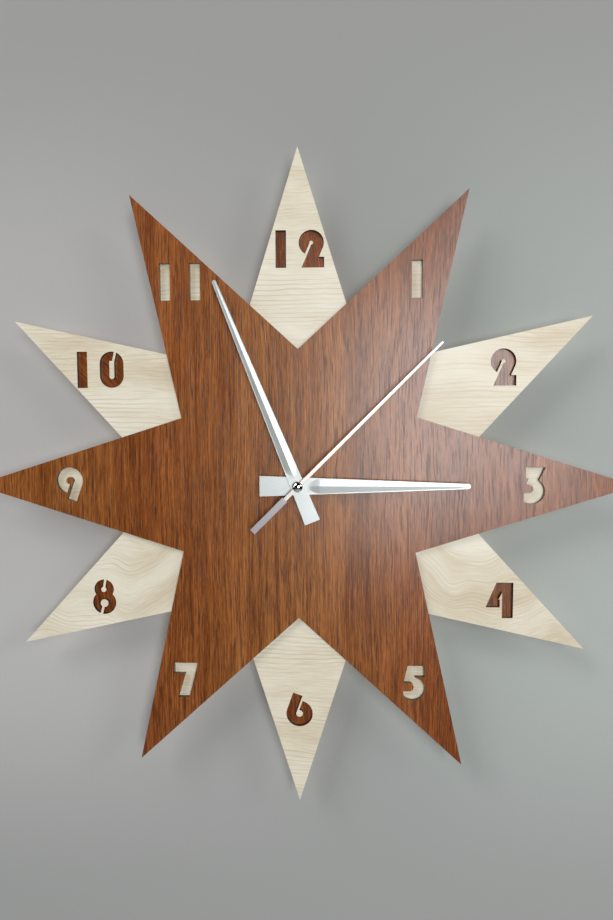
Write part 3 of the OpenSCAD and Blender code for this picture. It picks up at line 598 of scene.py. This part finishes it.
def baked(piece):
    """Turns a piece's live modifiers into plain mesh."""
    bpy.context.view_layer.update()
    ready = piece.evaluated_get(bpy.context.evaluated_depsgraph_get())
    mesh = bpy.data.meshes.new_from_object(ready)
    piece.modifiers.clear()
    piece.data = mesh
    return piece


def rounded(piece, radius, angle=30):
    """Rounds off a piece's edges that are sharper than this angle."""
    bevel = piece.modifiers.new("rounding", "BEVEL")
    bevel.width = radius * MM
    bevel.segments = 2
    bevel.limit_method = "ANGLE"
    bevel.angle_limit = math.radians(angle)
    bevel.harden_normals = True
    return baked(piece)


def softened(node, radius):
    """A copy of a CAD node whose sharp edges are rounded off by radius millimetres."""
    shape = bmesh.new()
    shape.from_mesh(NODES[node].data)
    bmesh.ops.remove_doubles(shape, verts=shape.verts, dist=2e-6)
    bmesh.ops.dissolve_limit(
        shape, angle_limit=math.radians(FLAT_ANGLE), verts=shape.verts, edges=shape.edges
    )
    mesh = bpy.data.meshes.new(node + "_piece")
    shape.to_mesh(mesh)
    shape.free()
    return rounded(linked(node + "_piece", smoothed(mesh)), radius)


def circle(shape, radius, height, segments):
    """Points round the bench's Z axis."""
    return [
        shape.verts.new((
            radius * math.cos(math.tau * i / segments),
            radius * math.sin(math.tau * i / segments),
            height,
        ))
        for i in range(segments)
    ]


def lying_along_x(low, high):
    """Bench place of a piece drawn upright that lies along X in this box."""
    middle = Vector((low.x, (low.y + high.y) / 2, (low.z + high.z) / 2))
    return Matrix.Translation(middle) @ Matrix.Rotation(math.radians(90), 4, "Y")


def lathed(name, profile, segments, place=None):
    """Spins a closed profile of (radius, height) points about the bench's Z axis."""
    shape = bmesh.new()
    rings = []
    for radius, height in profile:
        if radius == 0:
            rings.append([shape.verts.new((0, 0, height))])
            continue
        rings.append(circle(shape, radius, height, segments))
    for one, two in zip(rings, rings[1:] + rings[:1]):
        if len(one) == 1 and len(two) == 1:
            continue
        for i in range(segments):
            j = (i + 1) % segments
            corners = [one[i % len(one)], one[j % len(one)], two[j % len(two)], two[i % len(two)]]
            # on the axis two corners are one, and the face is a triangle
            shape.faces.new(list(dict.fromkeys(corners)))
    return drawn(name, shape, place)


def prism(shape, outline, low, high):
    """Adds an upright prism over a flat outline."""
    bottom = [shape.verts.new((x, y, low)) for x, y in outline]
    top = [shape.verts.new((x, y, high)) for x, y in outline]
    shape.faces.new(bottom)
    shape.faces.new(top)
    for i in range(len(outline)):
        j = (i + 1) % len(outline)
        shape.faces.new((bottom[i], bottom[j], top[j], top[i]))


# ------------------------------------------------------------------ what repeats


def new_tree(name, sizes):
    """An empty geometry tree with named sizes; gives back the tree and its input sockets."""
    tree = bpy.data.node_groups.new(name, "GeometryNodeTree")
    tree.interface.new_socket("Geometry", in_out="OUTPUT", socket_type="NodeSocketGeometry")
    for label, kind in sizes:
        tree.interface.new_socket(label, in_out="INPUT", socket_type="NodeSocket" + kind)
    entry = tree.nodes.new("NodeGroupInput")
    return tree, entry.outputs


def finish_tree(tree, geometry, material):
    """Ends a tree in real geometry with its material set."""
    real = tree.nodes.new("GeometryNodeRealizeInstances")
    painted = tree.nodes.new("GeometryNodeSetMaterial")
    exit_node = tree.nodes.new("NodeGroupOutput")
    painted.inputs["Material"].default_value = material
    tree.links.new(geometry, real.inputs[0])
    tree.links.new(real.outputs[0], painted.inputs["Geometry"])
    tree.links.new(painted.outputs[0], exit_node.inputs[0])


def grown(name, tree, place, **sizes):
    """Runs a tree with these sizes, and turns the result into a plain mesh in its place."""
    piece = linked(name, bpy.data.meshes.new(name))
    modifier = piece.modifiers.new("grow", "NODES")
    modifier.node_group = tree
    for item in tree.interface.items_tree:
        if item.in_out == "INPUT" and item.name in sizes:
            modifier[item.identifier] = sizes[item.name]
    baked(piece)
    shape = bmesh.new()
    shape.from_mesh(piece.data)
    shape.transform(HANG @ place)
    bmesh.ops.recalc_face_normals(shape, faces=shape.faces)
    shape.to_mesh(piece.data)
    shape.free()
    smoothed(piece.data, 50)
    return piece


def helix_tree(name, material):
    """A strand wound in a helix about Z: a thread's crest or a coil's turns."""
    tree, sizes = new_tree(name, [
        ("Turns", "Float"), ("Radius", "Float"), ("Length", "Float"),
        ("Strand", "Float"), ("Steps", "Int"), ("Sides", "Int"),
    ])
    spiral = tree.nodes.new("GeometryNodeCurveSpiral")
    section = tree.nodes.new("GeometryNodeCurvePrimitiveCircle")
    sweep = tree.nodes.new("GeometryNodeCurveToMesh")
    link = tree.links.new
    link(sizes["Steps"], spiral.inputs["Resolution"])
    link(sizes["Turns"], spiral.inputs["Rotations"])
    link(sizes["Radius"], spiral.inputs["Start Radius"])
    link(sizes["Radius"], spiral.inputs["End Radius"])
    link(sizes["Length"], spiral.inputs["Height"])
    link(sizes["Strand"], section.inputs["Radius"])
    link(sizes["Sides"], section.inputs["Resolution"])
    link(spiral.outputs[0], sweep.inputs["Curve"])
    link(section.outputs[0], sweep.inputs["Profile Curve"])
    sweep.inputs["Fill Caps"].default_value = True
    finish_tree(tree, sweep.outputs[0], material)
    return tree


def rib_tree(name, material):
    """A row of equal ribs along X, set out from the middle."""
    tree, sizes = new_tree(name, [
        ("Count", "Int"), ("Pitch", "Float"), ("Width", "Float"),
        ("Length", "Float"), ("Height", "Float"),
    ])
    row = tree.nodes.new("GeometryNodeMeshLine")
    step = tree.nodes.new("ShaderNodeCombineXYZ")
    size = tree.nodes.new("ShaderNodeCombineXYZ")
    rib = tree.nodes.new("GeometryNodeMeshCube")
    spots = tree.nodes.new("GeometryNodeInstanceOnPoints")
    link = tree.links.new
    link(sizes["Pitch"], step.inputs[0])
    for label, socket in zip(("Width", "Length", "Height"), size.inputs):
        link(sizes[label], socket)
    link(sizes["Count"], row.inputs["Count"])
    link(step.outputs[0], row.inputs["Offset"])
    link(size.outputs[0], rib.inputs["Size"])
    link(row.outputs[0], spots.inputs["Points"])
    link(rib.outputs[0], spots.inputs["Instance"])
    finish_tree(tree, spots.outputs[0], material)
    return tree


# ------------------------------------------------------------------ the dial

DIAL_FINISHES = {
    "walnut_star": WALNUT,
    "maple_star": MAPLE,
    "dial_gasket": RUBBER,
    "walnut_backing_10": WALNUT_LEANING,
}
for node in NODES:
    if node.startswith("walnut_backing"):
        DIAL_FINISHES.setdefault(node, WALNUT_BEHIND)
    if node.startswith("maple_backing"):
        DIAL_FINISHES.setdefault(node, MAPLE_BEHIND)
for node, finish in DIAL_FINISHES.items():
    painted(NODES[node], finish)


# ------------------------------------------------------------------ the hands


def hand_place(angle, z):
    """Bench place of a hand drawn pointing to twelve with its underside at z = 0."""
    return Matrix.Translation((0, 0, z)) @ Matrix.Rotation(-angle, 4, "Z")


HAND_SHAPES = {
    # length, tail, width at the tail, width at the tip, hole, degrees clockwise from twelve
    "hour_hand": (115, 26, 14, 3.4, 5.8, 90),
    "minute_hand": (147, 26, 10.8, 2.8, 4.0, 338),
}
SECOND_HAND_ANGLE = 45
SHEET = 0.5
HAND_EDGE = 0.14
HUB_MARGIN = 2
HUB_STEPS = 48
RIDGE_START = 5.5
RIDGE_OPEN = 9.0
RIDGE_SLOPE = 0.15
RIDGE_MARGIN = 0.5
RIDGE_END_GAP = 1.2
RIDGE_END_RUN = 3.0
OPEN_STEPS = 8
BODY_STEPS = 24
TIP_ANGLES = (15, 30, 45, 60, 72, 82)
ALUMINIUM = (0.65, 0.695, 0.69)
NEEDLE_METAL = (0.74, 0.71, 0.665)
NEEDLE_TAIL = (0.46, 0.445, 0.475)


def pressed_hand(node, length, tail, tail_width, tip_width, hole, degrees):
    """A tapered strip with a ridge pressed up along it from just past the hub to the tip."""
    shape = bmesh.new()
    tip = tip_width / 2
    straight = length - tip

    def half_width(y):
        if y > straight:
            return math.sqrt(max(tip * tip - (y - straight) ** 2, 0))
        share = (y + tail) / (straight + tail)
        return tail_width / 2 + (tip - tail_width / 2) * share

    def section(y):
        """Across the strip: x and height of the top, then of the underside."""
        half = half_width(y)
        opened = min(max((y - RIDGE_START) / RIDGE_OPEN, 0), 1)
        ending = min(max((length - RIDGE_END_GAP - y) / RIDGE_END_RUN, 0), 1)
        foot = max(half - min(RIDGE_MARGIN, half * 0.35), 0) * math.sin(opened * math.pi / 2)
        rise = foot * RIDGE_SLOPE * opened * ending
        top = [(-half, 0), (-foot, 0), (0, rise), (foot, 0), (half, 0)]
        return [(x, SHEET + h) for x, h in top], top

    stations = [-tail, -hole / 2 - HUB_MARGIN, 0, hole / 2 + HUB_MARGIN, RIDGE_START]
    stations += [RIDGE_START + RIDGE_OPEN * i / OPEN_STEPS for i in range(1, OPEN_STEPS + 1)]
    body_start = RIDGE_START + RIDGE_OPEN
    body = straight - RIDGE_START - RIDGE_OPEN
    stations += [body_start + body * i / BODY_STEPS for i in range(1, BODY_STEPS + 1)]
    stations += [straight + tip * math.sin(math.radians(a)) for a in TIP_ANGLES]
    rows = []
    for y in stations:
        top, under = section(y)
        rows.append((
            [shape.verts.new((x, y, z)) for x, z in top],
            [shape.verts.new((x, y, z)) for x, z in under],
        ))
    for number, ((top_a, under_a), (top_b, under_b)) in enumerate(zip(rows, rows[1:])):
        for i in range(4):
            if number in (1, 2):
                continue  # the hub's own rows, which hub_ring fills
            shape.faces.new((top_a[i], top_a[i + 1], top_b[i + 1], top_b[i]))
            shape.faces.new((under_a[i + 1], under_a[i], under_b[i], under_b[i + 1]))
        shape.faces.new((top_a[0], top_b[0], under_b[0], under_a[0]))
        shape.faces.new((top_b[4], top_a[4], under_a[4], under_b[4]))
    for top, under in (rows[0], rows[-1]):
        for i in range(4):
            shape.faces.new((top[i], top[i + 1], under[i + 1], under[i]))
    hub_ring(shape, rows, hole / 2)
    low, _ = bench_box(node)
    piece = drawn(node + "_piece", shape, hand_place(math.radians(degrees), low.z), 3)
    return rounded(piece, HAND_EDGE, 40)


def hub_ring(shape, rows, radius):
    """Fills the strip at the hub round its hole, and gives the hole its wall.

    Known fault: on the underside the fill closes the hole with a disc and leaves the strip
    open. That face looks at the collar and can't be seen.
    """
    rings = []
    for side, height in ((0, SHEET), (1, 0)):
        back, middle, front = (row[side] for row in rows[1:4])
        edge = [back[0], middle[0], *front, middle[4], *back[:0:-1]]
        ring = [
            shape.verts.new((
                radius * math.sin(math.tau * i / HUB_STEPS),
                radius * math.cos(math.tau * i / HUB_STEPS),
                height,
            ))
            for i in range(HUB_STEPS)
        ]
        pairs = list(zip(edge, edge[1:] + edge[:1])) + list(zip(ring, ring[1:] + ring[:1]))
        for pair in pairs:
            if shape.edges.get(pair) is None:
                shape.edges.new(pair)
        edges = [shape.edges.get(pair) for pair in pairs]
        bmesh.ops.triangle_fill(shape, use_beauty=True, use_dissolve=False, edges=edges)
        rings.append(ring)
    upper, painted_light_lower = rings
    for i in range(HUB_STEPS):
        j = (i + 1) % HUB_STEPS
        shape.faces.new((upper[i], upper[j], painted_light_lower[j], painted_light_lower[i]))


for node, sizes in HAND_SHAPES.items():
    angle = math.radians(sizes[-1])
    along = (math.sin(angle), math.cos(angle))
    brushed = brushed_metal("brushed_" + node, ALUMINIUM, along, 0.40)
    placed(pressed_hand(node, *sizes), brushed, node)


def second_needle():
    """The second hand: a thin needle, a narrow neck and a square counterweight."""
    angle = math.radians(SECOND_HAND_ANGLE)
    along = (math.sin(angle), math.cos(angle))
    brushed = brushed_metal("brushed_second_hand", NEEDLE_METAL, along, 0.36, NEEDLE_TAIL, -12.0)
    placed(softened("second_hand", 0.3), brushed, "second_hand")


second_needle()


HOUR_PIPE = 5.0
MINUTE_PIPE = 3.2
NECK_WALL = 0.4
COLLAR_LENGTH = 1.2


def collar(node, pipe):
    """A turned collar with a chamfered foot and its rolled neck."""
    low, high = bench_box(node)
    outer = (high.x - low.x) / 2
    bore = pipe / 2
    neck = bore + NECK_WALL
    seat = low.z + COLLAR_LENGTH
    profile = [
        (bore, low.z), (outer - 0.15, low.z), (outer, low.z + 0.15), (outer, seat - 0.1),
        (outer - 0.1, seat), (neck, seat), (neck, high.z - 0.1), (neck - 0.1, high.z),
        (bore, high.z),
    ]
    placed(lathed(node + "_piece", profile, 64), STEEL, node)


collar("hour_collar", HOUR_PIPE)
collar("minute_collar", MINUTE_PIPE)


def seconds_socket():
    """The tube under the second hand, with a groove round its middle."""
    low, high = bench_box("second_tube")
    outer = (high.x - low.x) / 2
    bore = 0.5
    middle = (low.z + high.z) / 2
    profile = [
        (bore, low.z), (outer - 0.2, low.z), (outer, low.z + 0.2), (outer, middle - 0.1),
        (outer - 0.12, middle), (outer, middle + 0.1), (outer, high.z), (bore, high.z),
    ]
    placed(lathed("second_tube_piece", profile, 48), STEEL, "second_tube")


seconds_socket()


def polished_cap():
    """A domed cap over a fine rim."""
    low, high = bench_box("second_cap")
    outer = (high.x - low.x) / 2
    foot, rise = low.z, high.z - low.z
    rim = 0.3
    dome = outer - 0.22
    ball = (dome ** 2 + (rise - rim) ** 2) / (2 * (rise - rim))
    spread = math.asin(dome / ball)
    steps = 12
    profile = [
        (0, foot), (outer - 0.1, foot), (outer, foot + 0.1), (outer, foot + rim - 0.08),
        (outer - 0.08, foot + rim), (dome + 0.04, foot + rim - 0.05),
    ]
    for i in range(steps + 1):
        a = spread * (1 - i / steps)
        profile.append((ball * math.sin(a), high.z - ball + ball * math.cos(a)))
    placed(lathed("second_cap_piece", profile, 72), CHROME, "second_cap")


polished_cap()


# ------------------------------------------------------------------ the post and its nut

POST_D = 7.9
THREAD_PITCH = 0.75
THREAD_DEPTH = 0.36


def threaded_bush():
    """The brass bush: a flange inside the case and a real thread through the dial."""
    low, high = bench_box("threaded_post")
    front = bench_box("movement_case")[1].z
    flange = (high.x - low.x) / 2
    outer = POST_D / 2
    root = outer - THREAD_DEPTH
    bore = HOUR_PIPE / 2 + 0.05
    under = low.z + 0.7
    thread_low = front + 1.15
    profile = [
        (bore, low.z), (flange - 0.15, low.z), (flange, low.z + 0.15), (flange, under),
        (outer, under), (outer, thread_low - 0.2), (root, thread_low), (root, high.z - 0.25),
        (root - 0.25, high.z), (bore, high.z),
    ]
    bush = lathed("threaded_post_piece", profile, 72)
    run = high.z - 0.55 - thread_low
    crest = grown(
        "post_thread", helix_tree("thread", BRASS),
        Matrix.Translation((0, 0, thread_low + 0.1)),
        Turns=run / THREAD_PITCH, Radius=root + 0.11, Length=run,
        Strand=0.25, Steps=32, Sides=4,
    )
    placed(bush, BRASS, "threaded_post")
    added(crest, BRASS, BODY_OF["threaded_post"])


threaded_bush()


def chamfered_nut():
    """A hexagon nut whose corners are turned off at both faces."""
    low, high = bench_box("hex_nut")
    flats = high.y - low.y
    bore = POST_D / 2
    flat_r = flats / 2 - 0.1
    steps = 96
    shape = bmesh.new()
    rings = [[] for _ in range(6)]
    for i in range(steps):
        angle = math.tau * i / steps
        corner = (angle + math.pi / 6) % (math.pi / 3) - math.pi / 6
        side = flats / 2 / math.cos(math.pi / 6 - abs(corner))
        drop = max(side - flat_r, 0) * 0.55
        heights = [
            (bore, low.z + 0.2), (bore + 0.2, low.z), (flat_r, low.z), (side, low.z + drop),
            (side, high.z - drop), (flat_r, high.z),
        ]
        for ring, (radius, height) in zip(rings, heights):
            x, y = radius * math.cos(angle), radius * math.sin(angle)
            ring.append(shape.verts.new((x, y, height)))
    rings.append(circle(shape, bore + 0.2, high.z, steps))
    rings.append(circle(shape, bore, high.z - 0.2, steps))
    for one, two in zip(rings, rings[1:] + rings[:1]):
        for i in range(steps):
            j = (i + 1) % steps
            shape.faces.new((one[i], one[j], two[j], two[i]))
    placed(drawn("hex_nut_piece", shape), BRASS, "hex_nut")


chamfered_nut()


def dished_washer():
    """A stamped washer whose face falls away towards its rim."""
    low, high = bench_box("post_washer")
    outer = (high.x - low.x) / 2
    bore = POST_D / 2 + 0.1
    profile = [
        (bore, low.z), (outer - 0.12, low.z), (outer, low.z + 0.12), (outer, high.z - 0.2),
        (outer - 0.2, high.z - 0.04), (outer - 0.6, high.z), (bore + 0.15, high.z),
        (bore, high.z - 0.15),
    ]
    placed(lathed("post_washer_piece", profile, 96), STEEL, "post_washer")


dished_washer()


# ------------------------------------------------------------------ the movement

ROUNDED_NODES = [
    # node, rounding in millimetres, finish
    ("movement_case", 0.35, CASE_BLACK),
    ("movement_cover", 0.2, CASE_BLACK),
    ("setting_knob", 0.12, KNOB_BLACK),
    ("gear_plate", 0.12, PLATE_WHITE),
    ("positive_contact", 0.06, SPRING_BRASS),
    ("circuit_board", 0.05, BOARD_GREEN),
    ("coil_core", 0.06, STEEL),
    ("coil_bobbin", 0.12, BOBBIN_BLUE),
    ("stator", 0.06, STEEL),
    ("rotor_magnet", 0.1, MAGNET),
    ("rotor_arbor", 0.02, ACETAL),
    ("intermediate_wheel", 0.02, ACETAL),
    ("second_wheel", 0.02, ACETAL),
    ("third_wheel", 0.02, ACETAL),
    ("centre_wheel", 0.02, ACETAL),
    ("motion_wheel", 0.02, ACETAL),
    ("hour_wheel", 0.02, ACETAL),
]
for node, radius, finish in ROUNDED_NODES:
    placed(softened(node, radius), finish, node)

painted(NODES["negative_contact"], SPRING_BRASS)
painted(NODES["coil_leads"], COPPER)


def dry_cell():
    """An AA cell: sleeve, crimped ends, a plus button and a recessed minus plate."""
    low, high = bench_box("battery")
    outer = (high.y - low.y) / 2
    length = high.x - low.x
    shoulder = length - 1.3
    button = 2.75
    place = lying_along_x(low, high)
    sleeve = [
        (0, 0.35), (3.4, 0.35), (3.8, 0.05), (4.6, 0.0), (outer - 1.1, 0.0), (outer - 0.7, 0.25),
        (outer - 0.25, 0.12), (outer - 0.05, 0.35), (outer, 0.8), (outer, shoulder - 0.8),
        (outer - 0.05, shoulder - 0.35), (outer - 0.25, shoulder - 0.1), (outer - 0.7, shoulder),
        (outer - 1.3, shoulder - 0.3), (outer - 2.4, shoulder - 0.35), (0, shoulder - 0.35),
    ]
    cell = lathed("battery_piece", sleeve, 96, place)
    placed(cell, cell_jacket("cell_jacket", low.x, high.x), "battery")
    cap = [
        (0, shoulder - 0.5), (4.4, shoulder - 0.5), (4.4, shoulder - 0.12),
        (button + 0.35, shoulder - 0.05), (button, shoulder + 0.25), (button, length - 0.35),
        (button - 0.12, length - 0.1), (button - 0.4, length), (0, length),
    ]
    added(lathed("battery_button", cap, 64, place), CAN, "clock")
    plate = [(0, 0), (3.2, 0), (3.5, 0.2), (3.5, 0.5), (0, 0.5)]
    added(lathed("battery_base", plate, 64, place), CAN, "clock")


dry_cell()


def wound_coil():
    """Turns of enamelled wire, laid side by side between the bobbin's flanges."""
    low, high = bench_box("coil_winding")
    outer = (high.y - low.y) / 2
    wire = 0.09
    bore = 2.0
    place = lying_along_x(low, high)
    length = high.x - low.x
    inner = outer - 2 * wire
    layers = [(bore, 0), (inner, 0), (inner, length), (bore, length)]
    placed(lathed("coil_winding_piece", layers, 64, place), COPPER, "coil_winding")
    turns = grown(
        "coil_turns", helix_tree("winding", COPPER),
        place @ Matrix.Translation((0, 0, wire)),
        Turns=(length - 2 * wire) / (2 * wire), Radius=outer - wire, Length=length - 2 * wire,
        Strand=wire, Steps=40, Sides=6,
    )
    added(turns, COPPER, "clock")


wound_coil()


def crystal_can():
    """A drawn can with a rolled base and a domed end."""
    low, high = bench_box("quartz_crystal")
    radius = (high.x - low.x) / 2
    length = high.y - low.y
    place = (
        Matrix.Translation(((low.x + high.x) / 2, low.y, (low.z + high.z) / 2))
        @ Matrix.Rotation(math.radians(-90), 4, "X")
    )
    profile = [
        (0, 0.25), (radius - 0.5, 0.25), (radius - 0.4, 0), (radius, 0), (radius, 0.35),
        (radius - 0.12, 0.5), (radius - 0.12, length - 0.5), (radius - 0.3, length - 0.14),
        (radius - 0.6, length), (0, length),
    ]
    placed(lathed("quartz_crystal_piece", profile, 48, place), CAN, "quartz_crystal")


crystal_can()


def resin_blob():
    """The chip under its drop of resin."""
    low, high = bench_box("clock_chip")
    radius = (high.x - low.x) / 2
    rise = high.z - low.z
    steps = 8
    profile = [(0, rise), (radius, rise)]
    for i in range(1, steps):
        a = math.radians(90 * i / steps)
        profile.append((radius * math.cos(a), rise - rise * math.sin(a)))
    profile.append((0, 0))
    place = Matrix.Translation(((low.x + high.x) / 2, (low.y + high.y) / 2, low.z))
    placed(lathed("clock_chip_piece", profile, 48, place), RESIN, "clock_chip")


resin_blob()


def bar(shape, x, y, half_x, half_y, low, high):
    """Adds an upright bar about a point."""
    outline = [(-half_x, -half_y), (half_x, -half_y), (half_x, half_y), (-half_x, half_y)]
    prism(shape, [(x + dx, y + dy) for dx, dy in outline], low, high)


def case_marks():
    """Raised marks moulded on the back: the cell's plus and minus, ribs and a knob ring."""
    cover_low, cover_high = bench_box("movement_cover")
    cell_low, cell_high = bench_box("battery")
    knob = bench_axis("setting_knob_turn")
    knob_low, knob_high = bench_box("setting_knob")
    bay_floor = cell_high.z + 0.3
    rooted = bay_floor + 0.1
    shape = bmesh.new()
    arm, half_stroke = 2.2, 0.35
    from_end = 7
    y = (cell_low.y + cell_high.y) / 2
    plus, minus = cell_high.x - from_end, cell_low.x + from_end
    bar(shape, plus, y, arm, half_stroke, bay_floor - 0.25, rooted)
    bar(shape, plus, y, half_stroke, arm, bay_floor - 0.24, rooted)
    bar(shape, minus, y, arm, half_stroke, bay_floor - 0.25, rooted)
    added(drawn("cell_marks", shape), CASE_BLACK, "clock")
    inner = (knob_high.x - knob_low.x) / 2 + 0.8
    outer = inner + 0.8
    root, shoulder, crest = cover_low.z + 0.1, cover_low.z - 0.7, cover_low.z - 0.85
    ring = [
        (inner, root), (inner, shoulder), (inner + 0.15, crest),
        (outer - 0.15, crest), (outer, shoulder), (outer, root),
    ]
    place = Matrix.Translation((knob.x, knob.y, 0))
    added(lathed("knob_ring", ring, 72, place), CASE_BLACK, "clock")
    ribs = grown(
        "cover_ribs", rib_tree("ribs", CASE_BLACK),
        Matrix.Translation((3.0, (cover_low.y + cover_high.y) / 2, cover_low.z - 0.2)),
        Count=8, Pitch=2.4, Width=0.9, Length=20.0, Height=0.6,
    )
    added(rounded(ribs, 0.15), CASE_BLACK, "clock")


case_marks()


def knob_arrow():
    """A raised arrow that shows which way the knob sets the hands."""
    face = bench_box("setting_knob")[0].z
    at = bench_axis("setting_knob_turn")
    shape = bmesh.new()
    inner, outer = 2.6, 3.3
    arc = [math.radians(a) for a in range(20, 251, 10)]
    outline = [(outer * math.cos(a), outer * math.sin(a)) for a in arc]
    outline += [(inner * math.cos(a), inner * math.sin(a)) for a in reversed(arc)]
    prism(shape, outline, face - 0.2, face + 0.1)
    middle = (inner + outer) / 2
    start = arc[0]
    point = start - 0.5
    head = [(r * math.cos(start), r * math.sin(start)) for r in (middle - 1, middle + 1)]
    head.append((middle * math.cos(point), middle * math.sin(point)))
    prism(shape, head, face - 0.2, face + 0.1)
    place = Matrix.Translation((at.x, at.y, 0))
    added(drawn("knob_arrow", shape, place), KNOB_BLACK, "knob")


knob_arrow()


# ------------------------------------------------------------------ room, light and camera


def stage_sheet(name, corners, finish):
    """A flat sheet of the room, which is no part of the clock."""
    mesh = bpy.data.meshes.new(name)
    mesh.from_pydata(corners, [], [range(len(corners))])
    mesh.materials.append(finish)
    sheet = linked(name, mesh)


WALL_HALF = 2.2
WALL_Y = 0.0002
FLOOR_HALF = 3
FLOOR_FRONT = -4
FLOOR_BACK = 3
FLOOR_Z = -2.0
stage_sheet(
    "wall",
    [
        (-WALL_HALF, WALL_Y, FLOOR_Z), (WALL_HALF, WALL_Y, FLOOR_Z),
        (WALL_HALF, WALL_Y, WALL_HALF), (-WALL_HALF, WALL_Y, WALL_HALF),
    ],
    wall_paint("wall_paint"),
)
stage_sheet(
    "floor",
    [
        (-FLOOR_HALF, FLOOR_FRONT, FLOOR_Z), (FLOOR_HALF, FLOOR_FRONT, FLOOR_Z),
        (FLOOR_HALF, FLOOR_BACK, FLOOR_Z), (-FLOOR_HALF, FLOOR_BACK, FLOOR_Z),
    ],
    floor_finish("floor_finish"),
)


def soft_light(name, place, target, width, height, watts):
    """A white rectangular lamp that faces its target."""
    light = bpy.data.lights.new(name, "AREA")
    light.shape = "RECTANGLE"
    light.size = width
    light.size_y = height
    light.energy = watts
    lamp = bpy.data.objects.new(name, light)
    lamp.location = place
    aim = Vector(target) - Vector(place)
    lamp.rotation_euler = aim.to_track_quat("-Z", "Y").to_euler()
    bpy.context.scene.collection.objects.link(lamp)


DIAL = (0, -0.02, AXIS_Z)
# the two panes are mirrored by the walnut as an upright sheen
soft_light("upper_left", (-1.3, -1.2, 1.5), DIAL, 0.9, 0.9, 20.5)
soft_light("left_wall", (-2.6, -1.1, 0.4), DIAL, 1.2, 1.4, 7)
soft_light("right_wall", (2.2, -1.2, 0.9), DIAL, 0.6, 0.6, 11.5)
soft_light("window_pane", (0.39, -2.5, 0.02), (0.39, 0, 0.02), 0.5, 1.16, 17.5)
soft_light("window_far_pane", (0.97, -2.5, 0.36), (0.97, 0, 0.36), 0.62, 1.64, 27.5)
soft_light("behind_left", (-1.1, 1.9, 1.0), DIAL, 1.2, 1.2, 24)
soft_light("behind_right", (1.3, 1.7, 0.2), DIAL, 1.0, 1.0, 14)

SKY_COLOUR = (0.97, 0.985, 1.0, 1)
SKY_ON_OBJECTS = 0.01
SKY_SEEN = 0.42
world = bpy.data.worlds.new("room")
world.use_nodes = True
sky = world.node_tree.nodes["Background"]
sky.inputs["Color"].default_value = SKY_COLOUR
seen = world.node_tree.nodes.new("ShaderNodeLightPath").outputs["Is Camera Ray"]
level = world.node_tree.nodes.new("ShaderNodeMapRange")
level.inputs["To Min"].default_value = SKY_ON_OBJECTS
level.inputs["To Max"].default_value = SKY_SEEN
world.node_tree.links.new(seen, level.inputs["Value"])
world.node_tree.links.new(level.outputs[0], sky.inputs["Strength"])
bpy.context.scene.world = world
bpy.context.scene.view_settings.view_transform = "Standard"

VIEW_FROM = (0.02323, -0.43604, 0.01314)
VIEW_TURN = (86.1212, 0.1914, 2.4406)
VIEW_LENS = 23.87
camera = bpy.data.cameras.new("camera")
camera.sensor_width = 36
camera.lens = VIEW_LENS
camera.clip_start = 0.01
viewer = bpy.data.objects.new("camera", camera)
viewer.location = VIEW_FROM
viewer.rotation_euler = [math.radians(a) for a in VIEW_TURN]
bpy.context.scene.collection.objects.link(viewer)
bpy.context.scene.camera = viewer
